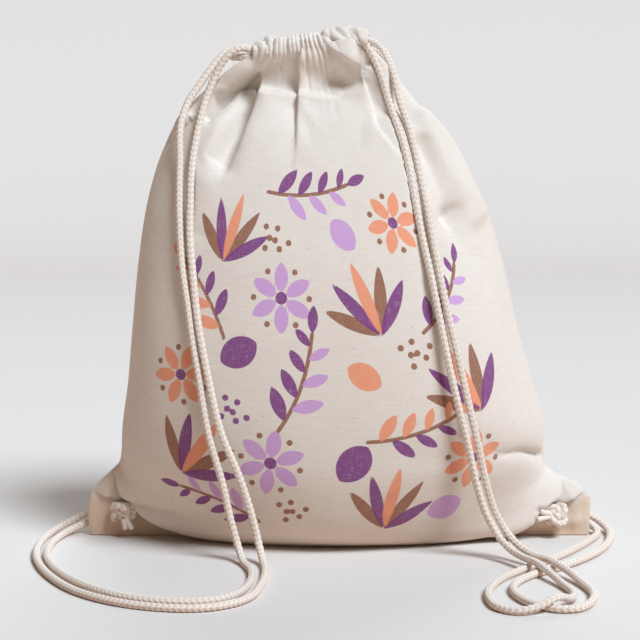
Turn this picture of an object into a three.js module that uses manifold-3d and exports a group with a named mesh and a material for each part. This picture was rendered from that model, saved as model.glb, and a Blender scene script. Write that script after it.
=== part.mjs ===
// A cotton drawstring gym bag, filled and drawn shut: two sewn panels that meet at the sides and at a
// fold on the floor, a ruffled casing along each side of the mouth, and two cords that run round the
// mouth, come out on either side and end in knots at the bottom corners.
// Millimetres, +Z up. The bag stands on the floor at z = 0 and its front faces -Y.
import * as THREE from "three";
import { mergeVertices } from "three/addons/utils/BufferGeometryUtils.js";
import Module from "manifold-3d";

const wasm = await Module();
wasm.setup();

// Driving dimensions
const CLOTH_WALL = 1.5;
const GAP = 0.3;
const FLAT_WIDTH = 380;
const CORD_DIAMETER = 5;
const CORD_SIDES = 8;
const STRAND_STEPS = 46;
const CASING_CORD_STEPS = 34;
const PANEL_COLUMNS = 36;
const PANEL_ROWS = 28;
const TOP_ROW_CROWDING = 1.25;
const SECTION_SAMPLES = 160;
const EAR_SAMPLES = 16;
const EAR_LAYER_RUN = 9;
const FLOOR_SETTLE = 0.6;
const FLOOR_SETTLE_REACH = 20;
const HEM_QUIET = 0.05;
const SEAM_QUIET = 0.1;
const BASE_QUIET = 0.17;
const BASE_FADE = 0.29;
const MERGE_DISTANCE = 1e-4;

// The bag's cross-sections from the fold on the floor up to the casing. Each row follows one thread of
// the cloth: where it passes the middle of the front and of the back, how wide the filled body is there,
// where the flat corner ears end beyond it, how high the side seams stand and how boxy the section is.
const SECTION_COLUMNS = [
  "frontY", "frontZ", "backY", "backZ", "middleX", "bodyLeft", "bodyRight",
  "earLeft", "earRight", "seamLeftZ", "seamRightZ", "boxiness",
];
const SECTIONS = [
  [0, 0, 0, 0, 0, -110, 110, -183, 184, 0, 0, 2.4],
  [-14, 0, 14, 0, 0, -116, 116, -184, 185, 13, 13, 2.4],
  [-27, 0, 27, 0, 0, -126, 125, -183.5, 185, 25, 25, 2.4],
  [-45, 4.5, 45, 4.5, -1, -139, 137, -176, 175, 40, 39.5, 2.5],
  [-59, 15, 59, 15, -2, -150, 146, -167, 159, 48.5, 47, 2.6],
  [-70, 34, 70, 34, -3, -158, 150.5, -161, 151.5, 60, 58, 2.6],
  [-79, 66, 78, 66, -4, -158, 150, -158, 150, 82, 81, 2.6],
  [-82, 105, 81, 105, -6, -153, 141, -153, 141, 117, 115, 2.6],
  [-80, 150, 81, 150, -9, -149.5, 129, -149.5, 129, 157, 155, 2.6],
  [-72, 200, 74, 200, -13, -145, 117.5, -145, 117.5, 205, 204, 2.5],
  [-57, 250, 61, 250, -18, -138, 102, -138, 102, 250, 249, 2.4],
  [-36, 296, 45, 294, -23, -123, 81, -123, 81, 294, 292, 2.3],
  [-17, 323, 28, 322, -25, -99, 57, -99, 57, 322, 322, 2.4],
  [-14, 349.2, 14, 349.2, -25, -66, 18, -66, 18, 342.7, 355.7, 5],
];

// The main folds of each panel, as lines on the cloth: across runs from -1 at the left seam to 1 at the
// right seam, along from 0 at the floor fold to 1 at the casing. A positive rise is a ridge.
const FOLD_COLUMNS = ["acrossFrom", "alongFrom", "acrossTo", "alongTo", "width", "rise"];
const FRONT_FOLDS = [
  [-0.36, 1, -0.74, 0.88, 13, -6],
  [-0.62, 1, -0.88, 0.88, 13, 4],
  [-0.46, 0.96, -0.46, 0.81, 15, -7],
  [-0.58, 0.85, -0.53, 0.68, 17, 3],
  [-0.36, 1, -0.33, 0.84, 11, 4],
  [-0.08, 1, -0.06, 0.84, 9, -3],
  [-0.34, 0.94, 0.32, 0.94, 10, -3],
  [0.13, 1, 0.5, 0.96, 12, 4],
  [0.5, 0.97, 0.5, 0.83, 12, 4],
  [0.78, 0.96, 0.9, 0.72, 14, 4],
  [0.68, 0.89, 0.67, 0.66, 18, -6],
  [0.74, 0.285, 0.99, 0.22, 15, -5],
];
const BACK_FOLDS = [
  [-0.62, 1, -0.8, 0.72, 16, 4],
  [-0.38, 1, -0.44, 0.74, 15, -5],
  [-0.1, 1, -0.12, 0.76, 14, 4],
  [0.14, 1, 0.2, 0.7, 15, -5],
  [0.42, 1, 0.52, 0.74, 15, 4],
  [0.66, 0.97, 0.78, 0.68, 16, -4],
];

// The casings lie side by side across the mouth and climb a little towards the right.
const CASING_Y = 14;
const CASING_LEFT_X = -62;
const CASING_RIGHT_X = 5;
const CASING_MIDDLE_X = -25;
const CASING_MIDDLE_Z = 357.8;
const CASING_SLOPE = 0.155;
const CASING_BORE = 6.7;
const CASING_OUTER = 8.6;
const CASING_SIDES = 8;
const CASING_STEPS = 22;
const CASING_PLEATS = 7;
const CASING_PLEAT_RISE = 1.1;
const CORD_TRACK = 2.75;
const CASING_STATIONS = [0, 0.25, 0.5, 0.75, 1];
// The turn of a cord between the casings: reach beyond the casing, and share of the casing's distance
const CORD_TURN = [[7, 0.86], [12.1, 0.5], [14, 0]];

// Corner knots and the holes that both ends of a cord come through
const HOLE_RADIUS = 6.7;
const HOLE_SIDES = 12;
const DRILL_LENGTH = 15;
const LEFT_HOLE = { x: -157, z: 22 };
const RIGHT_HOLE = { x: 155.5, z: 19 };
const KNOT_CORE = { x: 7.6, y: 5.2, z: 8.2 };
const KNOT_CORE_FACETS = { around: 14, down: 10 };
const KNOT_WRAP_RADIUS = 5.6;
const KNOT_WRAP_THICKNESS = 2.9;
const KNOT_WRAP_TILT = 0.7;
const KNOT_WRAP_FLATNESS = 0.6;
const KNOT_WRAP_FACETS = { section: 8, around: 16 };
const TAIL_LENGTH = 11;
const TAIL_RADIUS = 2.1;
const LEFT_TAIL_ANGLES = [2.9];
const RIGHT_TAIL_ANGLES = [-1.45, -1.95];

// The strands, from the end of a casing, over the shoulder, down the front, round a loop on the floor
// and up behind the corner ear to the knot hole.
const STRANDS = {
  left_cord_front_strand: [
    [-63, -14, 354.7], [-67.5, -15, 355.6], [-72.5, -16.2, 354.9], [-77.6, -17, 351.6], [-82.4, -17.2, 346],
    [-87.4, -17.4, 337], [-93.5, -20.2, 322],
    [-98, -27, 306], [-103, -40, 277], [-104, -51, 250], [-104, -59, 226], [-102, -66, 203],
    [-98, -74, 168], [-92, -79, 135], [-82, -83, 92], [-70, -83, 62], [-61, -82, 33],
    [-56, -83, 12], [-53, -94, 3.2], [-51, -116, 2.8], [-53, -152, 2.8], [-61, -187, 2.8],
    [-80, -206, 2.8], [-104, -210, 2.8], [-140, -198, 2.8], [-173, -169, 2.8], [-198, -124, 2.8],
    [-212, -78, 2.8], [-215, -40, 2.8], [-212, -8, 2.8], [-204, 10, 5], [-190, 17, 11],
    [-173, 17, 18], [-161, 11.5, 23.3], [-157, -1, 24.7],
  ],
  left_cord_back_strand: [
    [-62.4, 14, 354.8], [-67, 13.4, 355.4], [-74, 9.8, 355.4], [-82, 3, 351.5], [-91, -4, 341.5],
    [-99, -10, 330], [-107, -16, 318], [-112, -26, 301], [-112, -37, 277], [-112, -48, 250], [-111, -56, 226],
    [-109, -63, 203], [-105, -70, 178], [-102, -74, 156], [-98, -77, 133], [-91, -81, 91],
    [-82, -81, 58], [-76, -80, 30], [-71, -81, 12], [-67, -91, 3.2], [-61, -113, 2.8],
    [-60, -140, 2.8], [-66, -170, 2.8], [-81, -190, 2.8], [-105, -195, 2.8], [-136, -185, 2.8],
    [-166, -158, 2.8], [-190, -120, 2.8], [-204, -80, 2.8], [-207, -46, 2.8], [-204, -17, 2.8],
    [-197, 0, 4], [-185, 8, 8], [-169, 13.5, 14], [-159, 10, 18.6], [-157, -1, 19.4],
  ],
  right_cord_front_strand: [
    [5.4, -14, 359.8], [11, -15.6, 360.5], [15.4, -16.4, 359.5], [19, -16.8, 357], [21.8, -17.3, 353.4],
    [25, -18.2, 347], [29.4, -20.4, 336], [34, -23, 321],
    [39, -31, 306], [44, -40, 291], [49, -49, 269], [53, -57, 247], [57, -64, 226],
    [63, -72, 199], [69, -77, 169], [75, -81, 140], [82, -82, 110], [89, -80, 82],
    [95, -77, 56], [102, -75, 34], [110, -76, 19], [118, -86, 11], [126, -100, 8.4],
    [134, -116, 8.4], [141, -133, 6], [148, -153, 3], [152, -174, 2.8], [148, -194, 4.8],
    [137, -209, 9.4], [124, -216, 5.2], [111, -217, 2.8], [100, -208, 2.8], [96, -190, 2.8],
    [97, -168, 2.8], [103, -148, 2.8], [113, -128, 2.8], [125, -112, 2.8], [140, -92, 2.8],
    [156, -71, 2.8], [171, -47, 2.8], [183, -24, 2.8], [190, -5, 2.8], [187, 8, 5.5],
    [175, 14, 10.5], [164, 13, 14.5], [157, 8, 16.2], [155.5, -1, 16.4],
  ],
  right_cord_back_strand: [
    [5.4, 14, 359.8], [11.5, 15.6, 360.5], [18, 15, 360.8], [25, 10.6, 359.4], [31, 2.6, 354.4],
    [35, -7, 347], [38.4, -17.5, 336.6], [42, -24, 320], [48, -33, 302], [52, -40, 287], [56, -48, 268], [60, -56, 248],
    [64, -63, 226], [69, -70, 200], [75, -75, 172], [82, -78, 142], [89, -79, 112],
    [96, -78, 83], [102, -75, 56], [109, -72, 34], [117, -73, 20], [125, -82, 12],
    [134, -95, 8.4], [144, -109, 8.4], [153, -125, 6], [161, -148, 3], [165, -172, 2.8],
    [161, -195, 2.8], [151, -210, 2.8], [139, -212, 2.8], [128, -205, 2.8], [119, -192, 2.8],
    [114, -175, 2.8], [114, -158, 2.8], [120, -141, 2.8], [131, -125, 2.8], [147, -109, 2.8],
    [163, -91, 2.8], [179, -68, 2.8], [191, -42, 2.8], [198, -14, 2.8], [198, 8, 3.8],
    [191, 18, 8.5], [178, 18, 14.5], [165, 14, 20], [157, 8, 21.4], [155.5, -1, 21.7],
  ],
};

const COLOURS = { cloth: 0xe6ded0, casing: 0xe2d8c8, cord: 0xe4dccb, knot: 0xe8e1d2 };

// Monotone cubic through a table column, so that flat stretches stay flat
function smoothColumn(knots, values) {
  const last = knots.length - 1;
  const spans = knots.slice(1).map((knot, i) => knot - knots[i]);
  const rates = spans.map((span, i) => (values[i + 1] - values[i]) / span);
  const slopes = values.map((_, i) => {
    if (i === 0) return rates[0];
    if (i === last) return rates[last - 1];
    if (rates[i - 1] * rates[i] <= 0) return 0;
    const before = 2 * spans[i] + spans[i - 1];
    const after = spans[i] + 2 * spans[i - 1];
    return (before + after) / (before / rates[i - 1] + after / rates[i]);
  });
  return (at) => {
    let i = 0;
    while (i < last - 1 && at > knots[i + 1]) {
      i += 1;
    }
    const s = (at - knots[i]) / spans[i];
    const rest = 1 - s;
    return (
      (1 + 2 * s) * rest * rest * values[i] +
      s * rest * rest * spans[i] * slopes[i] +
      s * s * (3 - 2 * s) * values[i + 1] +
      s * s * (s - 1) * spans[i] * slopes[i + 1]
    );
  };
}

const clothKnots = [0];
for (let i = 1; i < SECTIONS.length; i += 1) {
  const [y0, z0] = SECTIONS[i - 1];
  const [y1, z1] = SECTIONS[i];
  clothKnots.push(clothKnots[i - 1] + Math.hypot(y1 - y0, z1 - z0));
}
const CLOTH_LENGTH = clothKnots.at(-1);
const sectionCurves = SECTION_COLUMNS.map((_, column) =>
  smoothColumn(clothKnots, SECTIONS.map((row) => row[column])),
);

function sectionAt(along) {
  const values = sectionCurves.map((curve) => curve(along * CLOTH_LENGTH));
  return Object.fromEntries(SECTION_COLUMNS.map((name, i) => [name, values[i]]));
}

// One thread of a panel as a dense line: the left ear, the rounded body and the right ear.
// The outer face of an ear stands one wall in front of the seam plane.
function threadLine(side, along) {
  const s = sectionAt(along);
  const [middleY, middleZ] = side < 0 ? [s.frontY, s.frontZ] : [s.backY, s.backZ];
  const power = 2 / s.boxiness;
  const stations = [];
  for (let k = EAR_SAMPLES; k > 0; k -= 1) {
    const reach = ((s.earLeft - s.bodyLeft) * k) / EAR_SAMPLES;
    stations.push({ x: s.bodyLeft + reach, depth: 0, ear: -reach });
  }
  for (let k = 0; k <= SECTION_SAMPLES; k += 1) {
    const angle = Math.PI * (k / SECTION_SAMPLES - 0.5);
    const offset = Math.sign(Math.sin(angle)) * Math.abs(Math.sin(angle)) ** power;
    const half = offset < 0 ? s.middleX - s.bodyLeft : s.bodyRight - s.middleX;
    const depth = Math.max(0, Math.cos(angle)) ** power;
    stations.push({ x: s.middleX + offset * half, depth, ear: 0 });
  }
  for (let k = 1; k <= EAR_SAMPLES; k += 1) {
    const reach = ((s.earRight - s.bodyRight) * k) / EAR_SAMPLES;
    stations.push({ x: s.bodyRight + reach, depth: 0, ear: reach });
  }
  const slope = (s.seamRightZ - s.seamLeftZ) / (s.earRight - s.earLeft);
  const seamLine = (x) => s.seamLeftZ + slope * (x - s.earLeft);
  const droop = seamLine(s.middleX) - middleZ;
  return stations.map(({ x, depth, ear }) => {
    const raw = seamLine(x) - droop * (1 - (1 - depth) ** 2);
    const settle = FLOOR_SETTLE * Math.min(1, Math.max(0, 1 - raw / FLOOR_SETTLE_REACH));
    const layer = CLOTH_WALL * THREE.MathUtils.smoothstep(ear, 0, EAR_LAYER_RUN);
    const y = middleY * depth + side * (GAP / 2 + layer);
    return new THREE.Vector3(x, y, Math.max(0, raw - settle));
  });
}

function evenPoints(line, count) {
  const lengths = [0];
  for (let i = 1; i < line.length; i += 1) {
    lengths.push(lengths[i - 1] + line[i].distanceTo(line[i - 1]));
  }
  const points = [];
  let k = 1;
  for (let i = 0; i <= count; i += 1) {
    const want = (lengths.at(-1) * i) / count;
    while (k < line.length - 1 && lengths[k] < want) {
      k += 1;
    }
    const share = (want - lengths[k - 1]) / (lengths[k] - lengths[k - 1] || 1);
    points.push(line[k - 1].clone().lerp(line[k], share));
  }
  return points;
}

// Height of the folds at a place on the cloth. They fade out at the seams, on the base and at the hem.
function foldHeight(folds, across, along) {
  const quiet =
    THREE.MathUtils.smoothstep(1 - Math.abs(across), 0, SEAM_QUIET) *
    THREE.MathUtils.smoothstep(along, BASE_QUIET, BASE_FADE) *
    THREE.MathUtils.smoothstep(1 - along, 0, HEM_QUIET);
  const place = new THREE.Vector2((across * FLAT_WIDTH) / 2, along * CLOTH_LENGTH);
  let height = 0;
  for (const row of folds) {
    const fold = Object.fromEntries(FOLD_COLUMNS.map((name, i) => [name, row[i]]));
    const from = new THREE.Vector2((fold.acrossFrom * FLAT_WIDTH) / 2, fold.alongFrom * CLOTH_LENGTH);
    const to = new THREE.Vector2((fold.acrossTo * FLAT_WIDTH) / 2, fold.alongTo * CLOTH_LENGTH);
    const line = to.clone().sub(from);
    const share = THREE.MathUtils.clamp(place.clone().sub(from).dot(line) / line.lengthSq(), 0, 1);
    const distance = place.distanceTo(from.add(line.multiplyScalar(share)));
    height += fold.rise * Math.exp(-((distance / fold.width) ** 2));
  }
  return height * quiet;
}

function gridNormals(grid, side) {
  const rows = grid.length - 1;
  const columns = grid[0].length - 1;
  return grid.map((row, j) =>
    row.map((_, i) => {
      const run = row[Math.min(columns, i + 1)].clone().sub(row[Math.max(0, i - 1)]);
      const rise = grid[Math.min(rows, j + 1)][i].clone().sub(grid[Math.max(0, j - 1)][i]);
      return run.cross(rise).multiplyScalar(-side).normalize();
    }),
  );
}

// A closed wall between an outer and an inner grid of points
function wallGeometry(outer, inner, flip) {
  const rows = outer.length - 1;
  const columns = outer[0].length - 1;
  const width = columns + 1;
  const points = [...outer.flat(), ...inner.flat()];
  const layer = outer.length * width;
  const index = [];
  const quad = (a, b, c, d) => index.push(...(flip ? [a, c, b, a, d, c] : [a, b, c, a, c, d]));
  for (let j = 0; j < rows; j += 1) {
    for (let i = 0; i < columns; i += 1) {
      const a = j * width + i;
      quad(a, a + 1, a + width + 1, a + width);
      quad(layer + a, layer + a + width, layer + a + width + 1, layer + a + 1);
    }
  }
  for (let i = 0; i < columns; i += 1) {
    const top = rows * width + i;
    quad(i, layer + i, layer + i + 1, i + 1);
    quad(top, top + 1, layer + top + 1, layer + top);
  }
  for (let j = 0; j < rows; j += 1) {
    const left = j * width;
    const right = left + columns;
    quad(left, left + width, layer + left + width, layer + left);
    quad(right, layer + right, layer + right + width, right + width);
  }
  const geometry = new THREE.BufferGeometry();
  geometry.setAttribute("position", new THREE.Float32BufferAttribute(points.flatMap((p) => p.toArray()), 3));
  geometry.setIndex(index);
  return geometry;
}

// A panel: side is -1 for the front and 1 for the back
function panelGeometry(side, folds) {
  const alongs = [];
  for (let j = 0; j <= PANEL_ROWS; j += 1) {
    alongs.push(1 - (1 - j / PANEL_ROWS) ** TOP_ROW_CROWDING);
  }
  const smooth = alongs.map((along) => evenPoints(threadLine(side, along), PANEL_COLUMNS));
  const smoothNormals = gridNormals(smooth, side);
  const outer = smooth.map((row, j) =>
    row.map((point, i) => {
      const across = (2 * i) / PANEL_COLUMNS - 1;
      return point.clone().addScaledVector(smoothNormals[j][i], foldHeight(folds, across, alongs[j]));
    }),
  );
  const normals = gridNormals(outer, side);
  const inner = outer.map((row, j) =>
    row.map((point, i) => {
      const inside = point.clone().addScaledVector(normals[j][i], -CLOTH_WALL);
      inside.y = side * Math.max(GAP / 2, side * inside.y);
      inside.z = Math.max(0, inside.z);
      return inside;
    }),
  );
  return wallGeometry(outer, inner, side > 0);
}

function casingCentre(x) {
  return CASING_MIDDLE_Z + CASING_SLOPE * (x - CASING_MIDDLE_X);
}

// A ruffled cloth tube: pleats show on its upper half and its underside stays even over the panel
function casingGeometry(side) {
  const length = CASING_RIGHT_X - CASING_LEFT_X;
  const ring = (share, radius, pleat) => {
    const x = CASING_LEFT_X + length * share;
    const points = [];
    for (let k = 0; k <= CASING_SIDES; k += 1) {
      const angle = (2 * Math.PI * ((k % CASING_SIDES) + 0.5)) / CASING_SIDES;
      const ruffle = pleat * Math.max(0, Math.sin(angle)) * Math.cos(2 * Math.PI * CASING_PLEATS * share);
      const reach = radius + ruffle;
      points.push(
        new THREE.Vector3(
          x,
          side * CASING_Y + reach * Math.cos(angle),
          casingCentre(x) + reach * Math.sin(angle),
        ),
      );
    }
    return points;
  };
  const shares = Array.from({ length: CASING_STEPS + 1 }, (_, j) => j / CASING_STEPS);
  const outer = shares.map((share) => ring(share, CASING_OUTER, CASING_PLEAT_RISE));
  const bore = shares.map((share) => ring(share, CASING_BORE, 0));
  return tubeGeometry(outer, bore);
}

// A tube wall between two stacks of closed rings
function tubeGeometry(outer, bore) {
  const rings = outer.length - 1;
  const sides = outer[0].length - 1;
  const triangles = [];
  const quad = (a, b, c, d) => triangles.push(a, c, b, a, d, c);
  for (let j = 0; j < rings; j += 1) {
    for (let k = 0; k < sides; k += 1) {
      quad(outer[j][k], outer[j + 1][k], outer[j + 1][k + 1], outer[j][k + 1]);
      quad(bore[j][k], bore[j][k + 1], bore[j + 1][k + 1], bore[j + 1][k]);
    }
  }
  for (let k = 0; k < sides; k += 1) {
    quad(outer[0][k], outer[0][k + 1], bore[0][k + 1], bore[0][k]);
    quad(outer[rings][k], bore[rings][k], bore[rings][k + 1], outer[rings][k + 1]);
  }
  const geometry = new THREE.BufferGeometry();
  const points = triangles.flatMap((p) => p.toArray());
  geometry.setAttribute("position", new THREE.Float32BufferAttribute(points, 3));
  return geometry;
}

function cordGeometry(points, steps) {
  const corners = Array.from({ length: CORD_SIDES }, (_, k) => {
    const angle = (2 * Math.PI * k) / CORD_SIDES;
    return new THREE.Vector2(Math.cos(angle), Math.sin(angle)).multiplyScalar(CORD_DIAMETER / 2);
  });
  const section = new THREE.Shape(corners);
  const route = new THREE.CatmullRomCurve3(points.map((p) => new THREE.Vector3(...p)));
  return new THREE.ExtrudeGeometry(section, { steps, bevelEnabled: false, extrudePath: route });
}

// The stretch of a cord inside both casings, turning round at the far side of the mouth.
// way is 1 for the left cord, which turns on the right, and -1 for the right cord.
function casingCordPoints(way, track) {
  const [startX, endX] = way > 0 ? [CASING_LEFT_X, CASING_RIGHT_X] : [CASING_RIGHT_X, CASING_LEFT_X];
  const level = (x) => casingCentre(x) + track;
  const out = CASING_STATIONS.map((share) => {
    const x = startX + way * GAP + (endX - startX - way * GAP) * share;
    return [x, -CASING_Y, level(x)];
  });
  const turn = CORD_TURN.map(([reach, share]) => [endX + way * reach, -CASING_Y * share, level(endX)]);
  const half = [...out, ...turn];
  const back = half.slice(0, -1).reverse();
  return [...half, ...back.map(([x, y, z]) => [x, -y, z])];
}

function toSolid(geometry) {
  const plain = geometry.clone();
  plain.deleteAttribute("normal");
  plain.deleteAttribute("uv");
  const merged = mergeVertices(plain, MERGE_DISTANCE);
  return new wasm.Manifold(
    new wasm.Mesh({
      numProp: 3,
      vertProperties: new Float32Array(merged.attributes.position.array),
      triVerts: new Uint32Array(merged.index.array),
    }),
  );
}

function fromSolid(solid) {
  const { vertProperties, triVerts, numProp } = solid.getMesh();
  const points = [];
  for (let i = 0; i < vertProperties.length; i += numProp) {
    points.push(...vertProperties.slice(i, i + 3));
  }
  const geometry = new THREE.BufferGeometry();
  geometry.setAttribute("position", new THREE.Float32BufferAttribute(points, 3));
  geometry.setIndex([...triVerts]);
  return geometry;
}

function withCornerHoles(panel) {
  let solid = toSolid(panel);
  for (const { x, z } of [LEFT_HOLE, RIGHT_HOLE]) {
    const drill = new THREE.CylinderGeometry(HOLE_RADIUS, HOLE_RADIUS, DRILL_LENGTH, HOLE_SIDES);
    drill.translate(x, 0, z);
    solid = solid.subtract(toSolid(drill));
  }
  return fromSolid(solid);
}

// An overhand knot in the doubled cord: a core with two crossed wraps, and two cut tails
function knotGeometry(tailAngles) {
  const core = new THREE.SphereGeometry(1, KNOT_CORE_FACETS.around, KNOT_CORE_FACETS.down);
  core.scale(KNOT_CORE.x, KNOT_CORE.y, KNOT_CORE.z);
  let solid = toSolid(core);
  for (const tilt of [-KNOT_WRAP_TILT, KNOT_WRAP_TILT]) {
    const wrap = new THREE.TorusGeometry(
      KNOT_WRAP_RADIUS,
      KNOT_WRAP_THICKNESS,
      KNOT_WRAP_FACETS.section,
      KNOT_WRAP_FACETS.around,
    );
    wrap.scale(1, KNOT_WRAP_FLATNESS, 1);
    wrap.rotateY(tilt);
    solid = solid.add(toSolid(wrap));
  }
  for (const angle of tailAngles) {
    const tail = new THREE.CylinderGeometry(TAIL_RADIUS, TAIL_RADIUS, TAIL_LENGTH, CORD_SIDES);
    tail.translate(0, KNOT_WRAP_RADIUS + TAIL_LENGTH / 2, 0);
    tail.rotateX(Math.PI / 2);
    tail.rotateY(angle);
    solid = solid.add(toSolid(tail));
  }
  return fromSolid(solid);
}

function piece(name, geometry, colour) {
  const material = new THREE.MeshStandardMaterial({ color: colour, roughness: 0.9, metalness: 0 });
  const mesh = new THREE.Mesh(geometry, material);
  mesh.name = name;
  return mesh;
}

const bag = new THREE.Group();
bag.add(piece("front_panel", withCornerHoles(panelGeometry(-1, FRONT_FOLDS)), COLOURS.cloth));
bag.add(piece("back_panel", withCornerHoles(panelGeometry(1, BACK_FOLDS)), COLOURS.cloth));
bag.add(piece("front_casing", casingGeometry(-1), COLOURS.casing));
bag.add(piece("back_casing", casingGeometry(1), COLOURS.casing));

for (const [name, points] of Object.entries(STRANDS)) {
  bag.add(piece(name, cordGeometry(points, STRAND_STEPS), COLOURS.cord));
}

// The left cord turns round on the right on the upper track, and the right cord on the left below it
for (const [name, way] of [["left_cord_in_casing", 1], ["right_cord_in_casing", -1]]) {
  const points = casingCordPoints(way, way * CORD_TRACK);
  bag.add(piece(name, cordGeometry(points, CASING_CORD_STEPS), COLOURS.cord));
}

// Each knot sits on the front layer of its corner ear
const knotY = -(GAP / 2 + CLOTH_WALL + GAP + KNOT_CORE.y);
const knots = [
  ["left_knot", LEFT_HOLE, LEFT_TAIL_ANGLES],
  ["right_knot", RIGHT_HOLE, RIGHT_TAIL_ANGLES],
];
for (const [name, hole, tailAngles] of knots) {
  const knot = piece(name, knotGeometry(tailAngles), COLOURS.knot);
  knot.position.set(hole.x, knotY, hole.z);
  bag.add(knot);
}

export default bag;
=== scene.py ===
# %% [markdown]
# # A filled cotton drawstring bag
# This lesson dresses a CAD model of a cotton drawstring bag: two sewn panels, two hem tunnels
# drawn shut at the mouth, two braided cords that double as shoulder straps, and two knots.
# The CAD solids are the fixed frame. The pieces are worked out in their coordinates, in
# millimetres, and built in metres, so nothing has to be fitted afterwards.

import bpy
import numpy as np
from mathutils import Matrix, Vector, noise
from mathutils.kdtree import KDTree


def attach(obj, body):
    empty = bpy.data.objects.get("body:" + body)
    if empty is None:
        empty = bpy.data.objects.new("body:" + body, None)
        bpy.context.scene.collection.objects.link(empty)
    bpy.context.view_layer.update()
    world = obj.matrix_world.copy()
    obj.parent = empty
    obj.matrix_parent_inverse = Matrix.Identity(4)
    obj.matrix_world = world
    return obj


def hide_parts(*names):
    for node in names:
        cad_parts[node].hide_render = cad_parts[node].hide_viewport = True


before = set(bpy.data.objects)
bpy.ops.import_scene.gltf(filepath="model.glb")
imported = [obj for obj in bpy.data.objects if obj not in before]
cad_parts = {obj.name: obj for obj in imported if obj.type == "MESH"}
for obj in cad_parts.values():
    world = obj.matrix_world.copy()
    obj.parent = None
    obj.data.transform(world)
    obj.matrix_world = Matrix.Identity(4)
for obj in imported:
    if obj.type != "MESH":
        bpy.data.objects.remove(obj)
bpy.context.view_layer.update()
bpy.ops.object.select_all(action="DESELECT")
MM = 0.001
print("CAD nodes:", sorted(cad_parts))

# %% [markdown]
# ## Camera, floor and light
# The bag was seen from in front and a little above, from about a metre and a half away, so the
# camera stands there with a long lens. The floor is a wide pale sheet that rises behind the bag
# like studio paper. One broad far lamp from the upper right makes the soft shade on the left and
# low down on the front, and a weaker one lights the back. The shade on the bag is warm, as over a
# wooden floor, so the paper and the world look pale to the camera and send warm light to
# everything else.

# %% Camera
CAMERA_PLACE = (-0.0137, -1.5, 0.36)
CAMERA_PITCH = np.radians(7.604)
CAMERA_LENS = 117.19
SENSOR_WIDTH = 36

bpy.ops.object.camera_add(location=CAMERA_PLACE, rotation=(np.pi / 2 - CAMERA_PITCH, 0, 0))
camera = bpy.context.object
camera.data.lens = CAMERA_LENS
camera.data.sensor_width = SENSOR_WIDTH
bpy.context.scene.camera = camera
bpy.context.scene.view_settings.view_transform = "Standard"
print("camera", tuple(round(v, 3) for v in camera.location))

# %% Floor
FLOOR_SIZE = 60
BACKDROP_AT = 3.0
BACKDROP_HEIGHT = 1.6
BEND_WIDTH = 1.2
BEND_SEGMENTS = 16
EDGE_TOLERANCE = 0.1

bpy.ops.mesh.primitive_plane_add(size=FLOOR_SIZE, location=(0, BACKDROP_AT - FLOOR_SIZE / 2, 0))
floor = bpy.context.object
floor.name = "floor"
bpy.ops.object.mode_set(mode="EDIT")
bpy.ops.mesh.select_all(action="DESELECT")
bpy.ops.object.mode_set(mode="OBJECT")
for edge in floor.data.edges:
    ends = [floor.matrix_world @ floor.data.vertices[k].co for k in edge.vertices]
    edge.select = min(end.y for end in ends) > BACKDROP_AT - EDGE_TOLERANCE
bpy.ops.object.mode_set(mode="EDIT")
bpy.ops.mesh.extrude_region_move(TRANSFORM_OT_translate={"value": (0, 0, BACKDROP_HEIGHT)})
bpy.ops.mesh.select_all(action="DESELECT")
bpy.ops.object.mode_set(mode="OBJECT")
bend = floor.modifiers.new("bend", "BEVEL")
bend.width = BEND_WIDTH
bend.segments = BEND_SEGMENTS
bpy.ops.object.modifier_apply(modifier="bend")
floor.data.shade_smooth()
print("floor", floor.dimensions[:])

# %% Studio paper
PAPER_SEEN = (0.72, 0.71, 0.70, 1)
PAPER_BOUNCE = (0.70, 0.54, 0.45, 1)
PAPER_ROUGHNESS = 0.9

paper = bpy.data.materials.new("studio_paper")
paper.use_nodes = True
nodes = paper.node_tree.nodes
links = paper.node_tree.links
paper_shader = nodes["Principled BSDF"]
paper_shader.inputs["Roughness"].default_value = PAPER_ROUGHNESS
rays = nodes.new("ShaderNodeLightPath")
blend = nodes.new("ShaderNodeMix")
blend.data_type = "RGBA"
blend.inputs["A"].default_value = PAPER_BOUNCE
blend.inputs["B"].default_value = PAPER_SEEN
links.new(rays.outputs["Is Camera Ray"], blend.inputs["Factor"])
links.new(blend.outputs["Result"], paper_shader.inputs["Base Color"])
floor.data.materials.append(paper)
print("paper", PAPER_SEEN)

# %% Lamps
LAMP_COLUMNS = ("name", "place", "strength", "spread", "colour")
LAMPS = [
    ("key", (0.52, -0.52, 0.92), 3.35, 22, (0.87, 0.94, 1.0)),
    ("back", (0.1, 0.8, 0.55), 1.5, 40, (0.82, 0.92, 1.0)),
]
LAMP_DISTANCE = 4


def named_rows(columns, rows):
    """The rows of a table, with their columns named."""
    return [dict(zip(columns, row)) for row in rows]


for spec in named_rows(LAMP_COLUMNS, LAMPS):
    place = Vector(spec["place"])
    turn = (-place).to_track_quat("-Z", "Y").to_euler()
    bpy.ops.object.light_add(type="SUN", location=place * LAMP_DISTANCE, rotation=turn)
    lamp = bpy.context.object
    lamp.name = spec["name"]
    lamp.data.energy = spec["strength"]
    lamp.data.angle = np.radians(spec["spread"])
    lamp.data.color = spec["colour"]
    print(lamp.name, "lamp from", spec["place"])

# %% World
WORLD_COLOUR = (1, 0.72, 0.52, 1)
WORLD_STRENGTH = 0.155
WORLD_SEEN = (0.8, 0.79, 0.78, 1)

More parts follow.
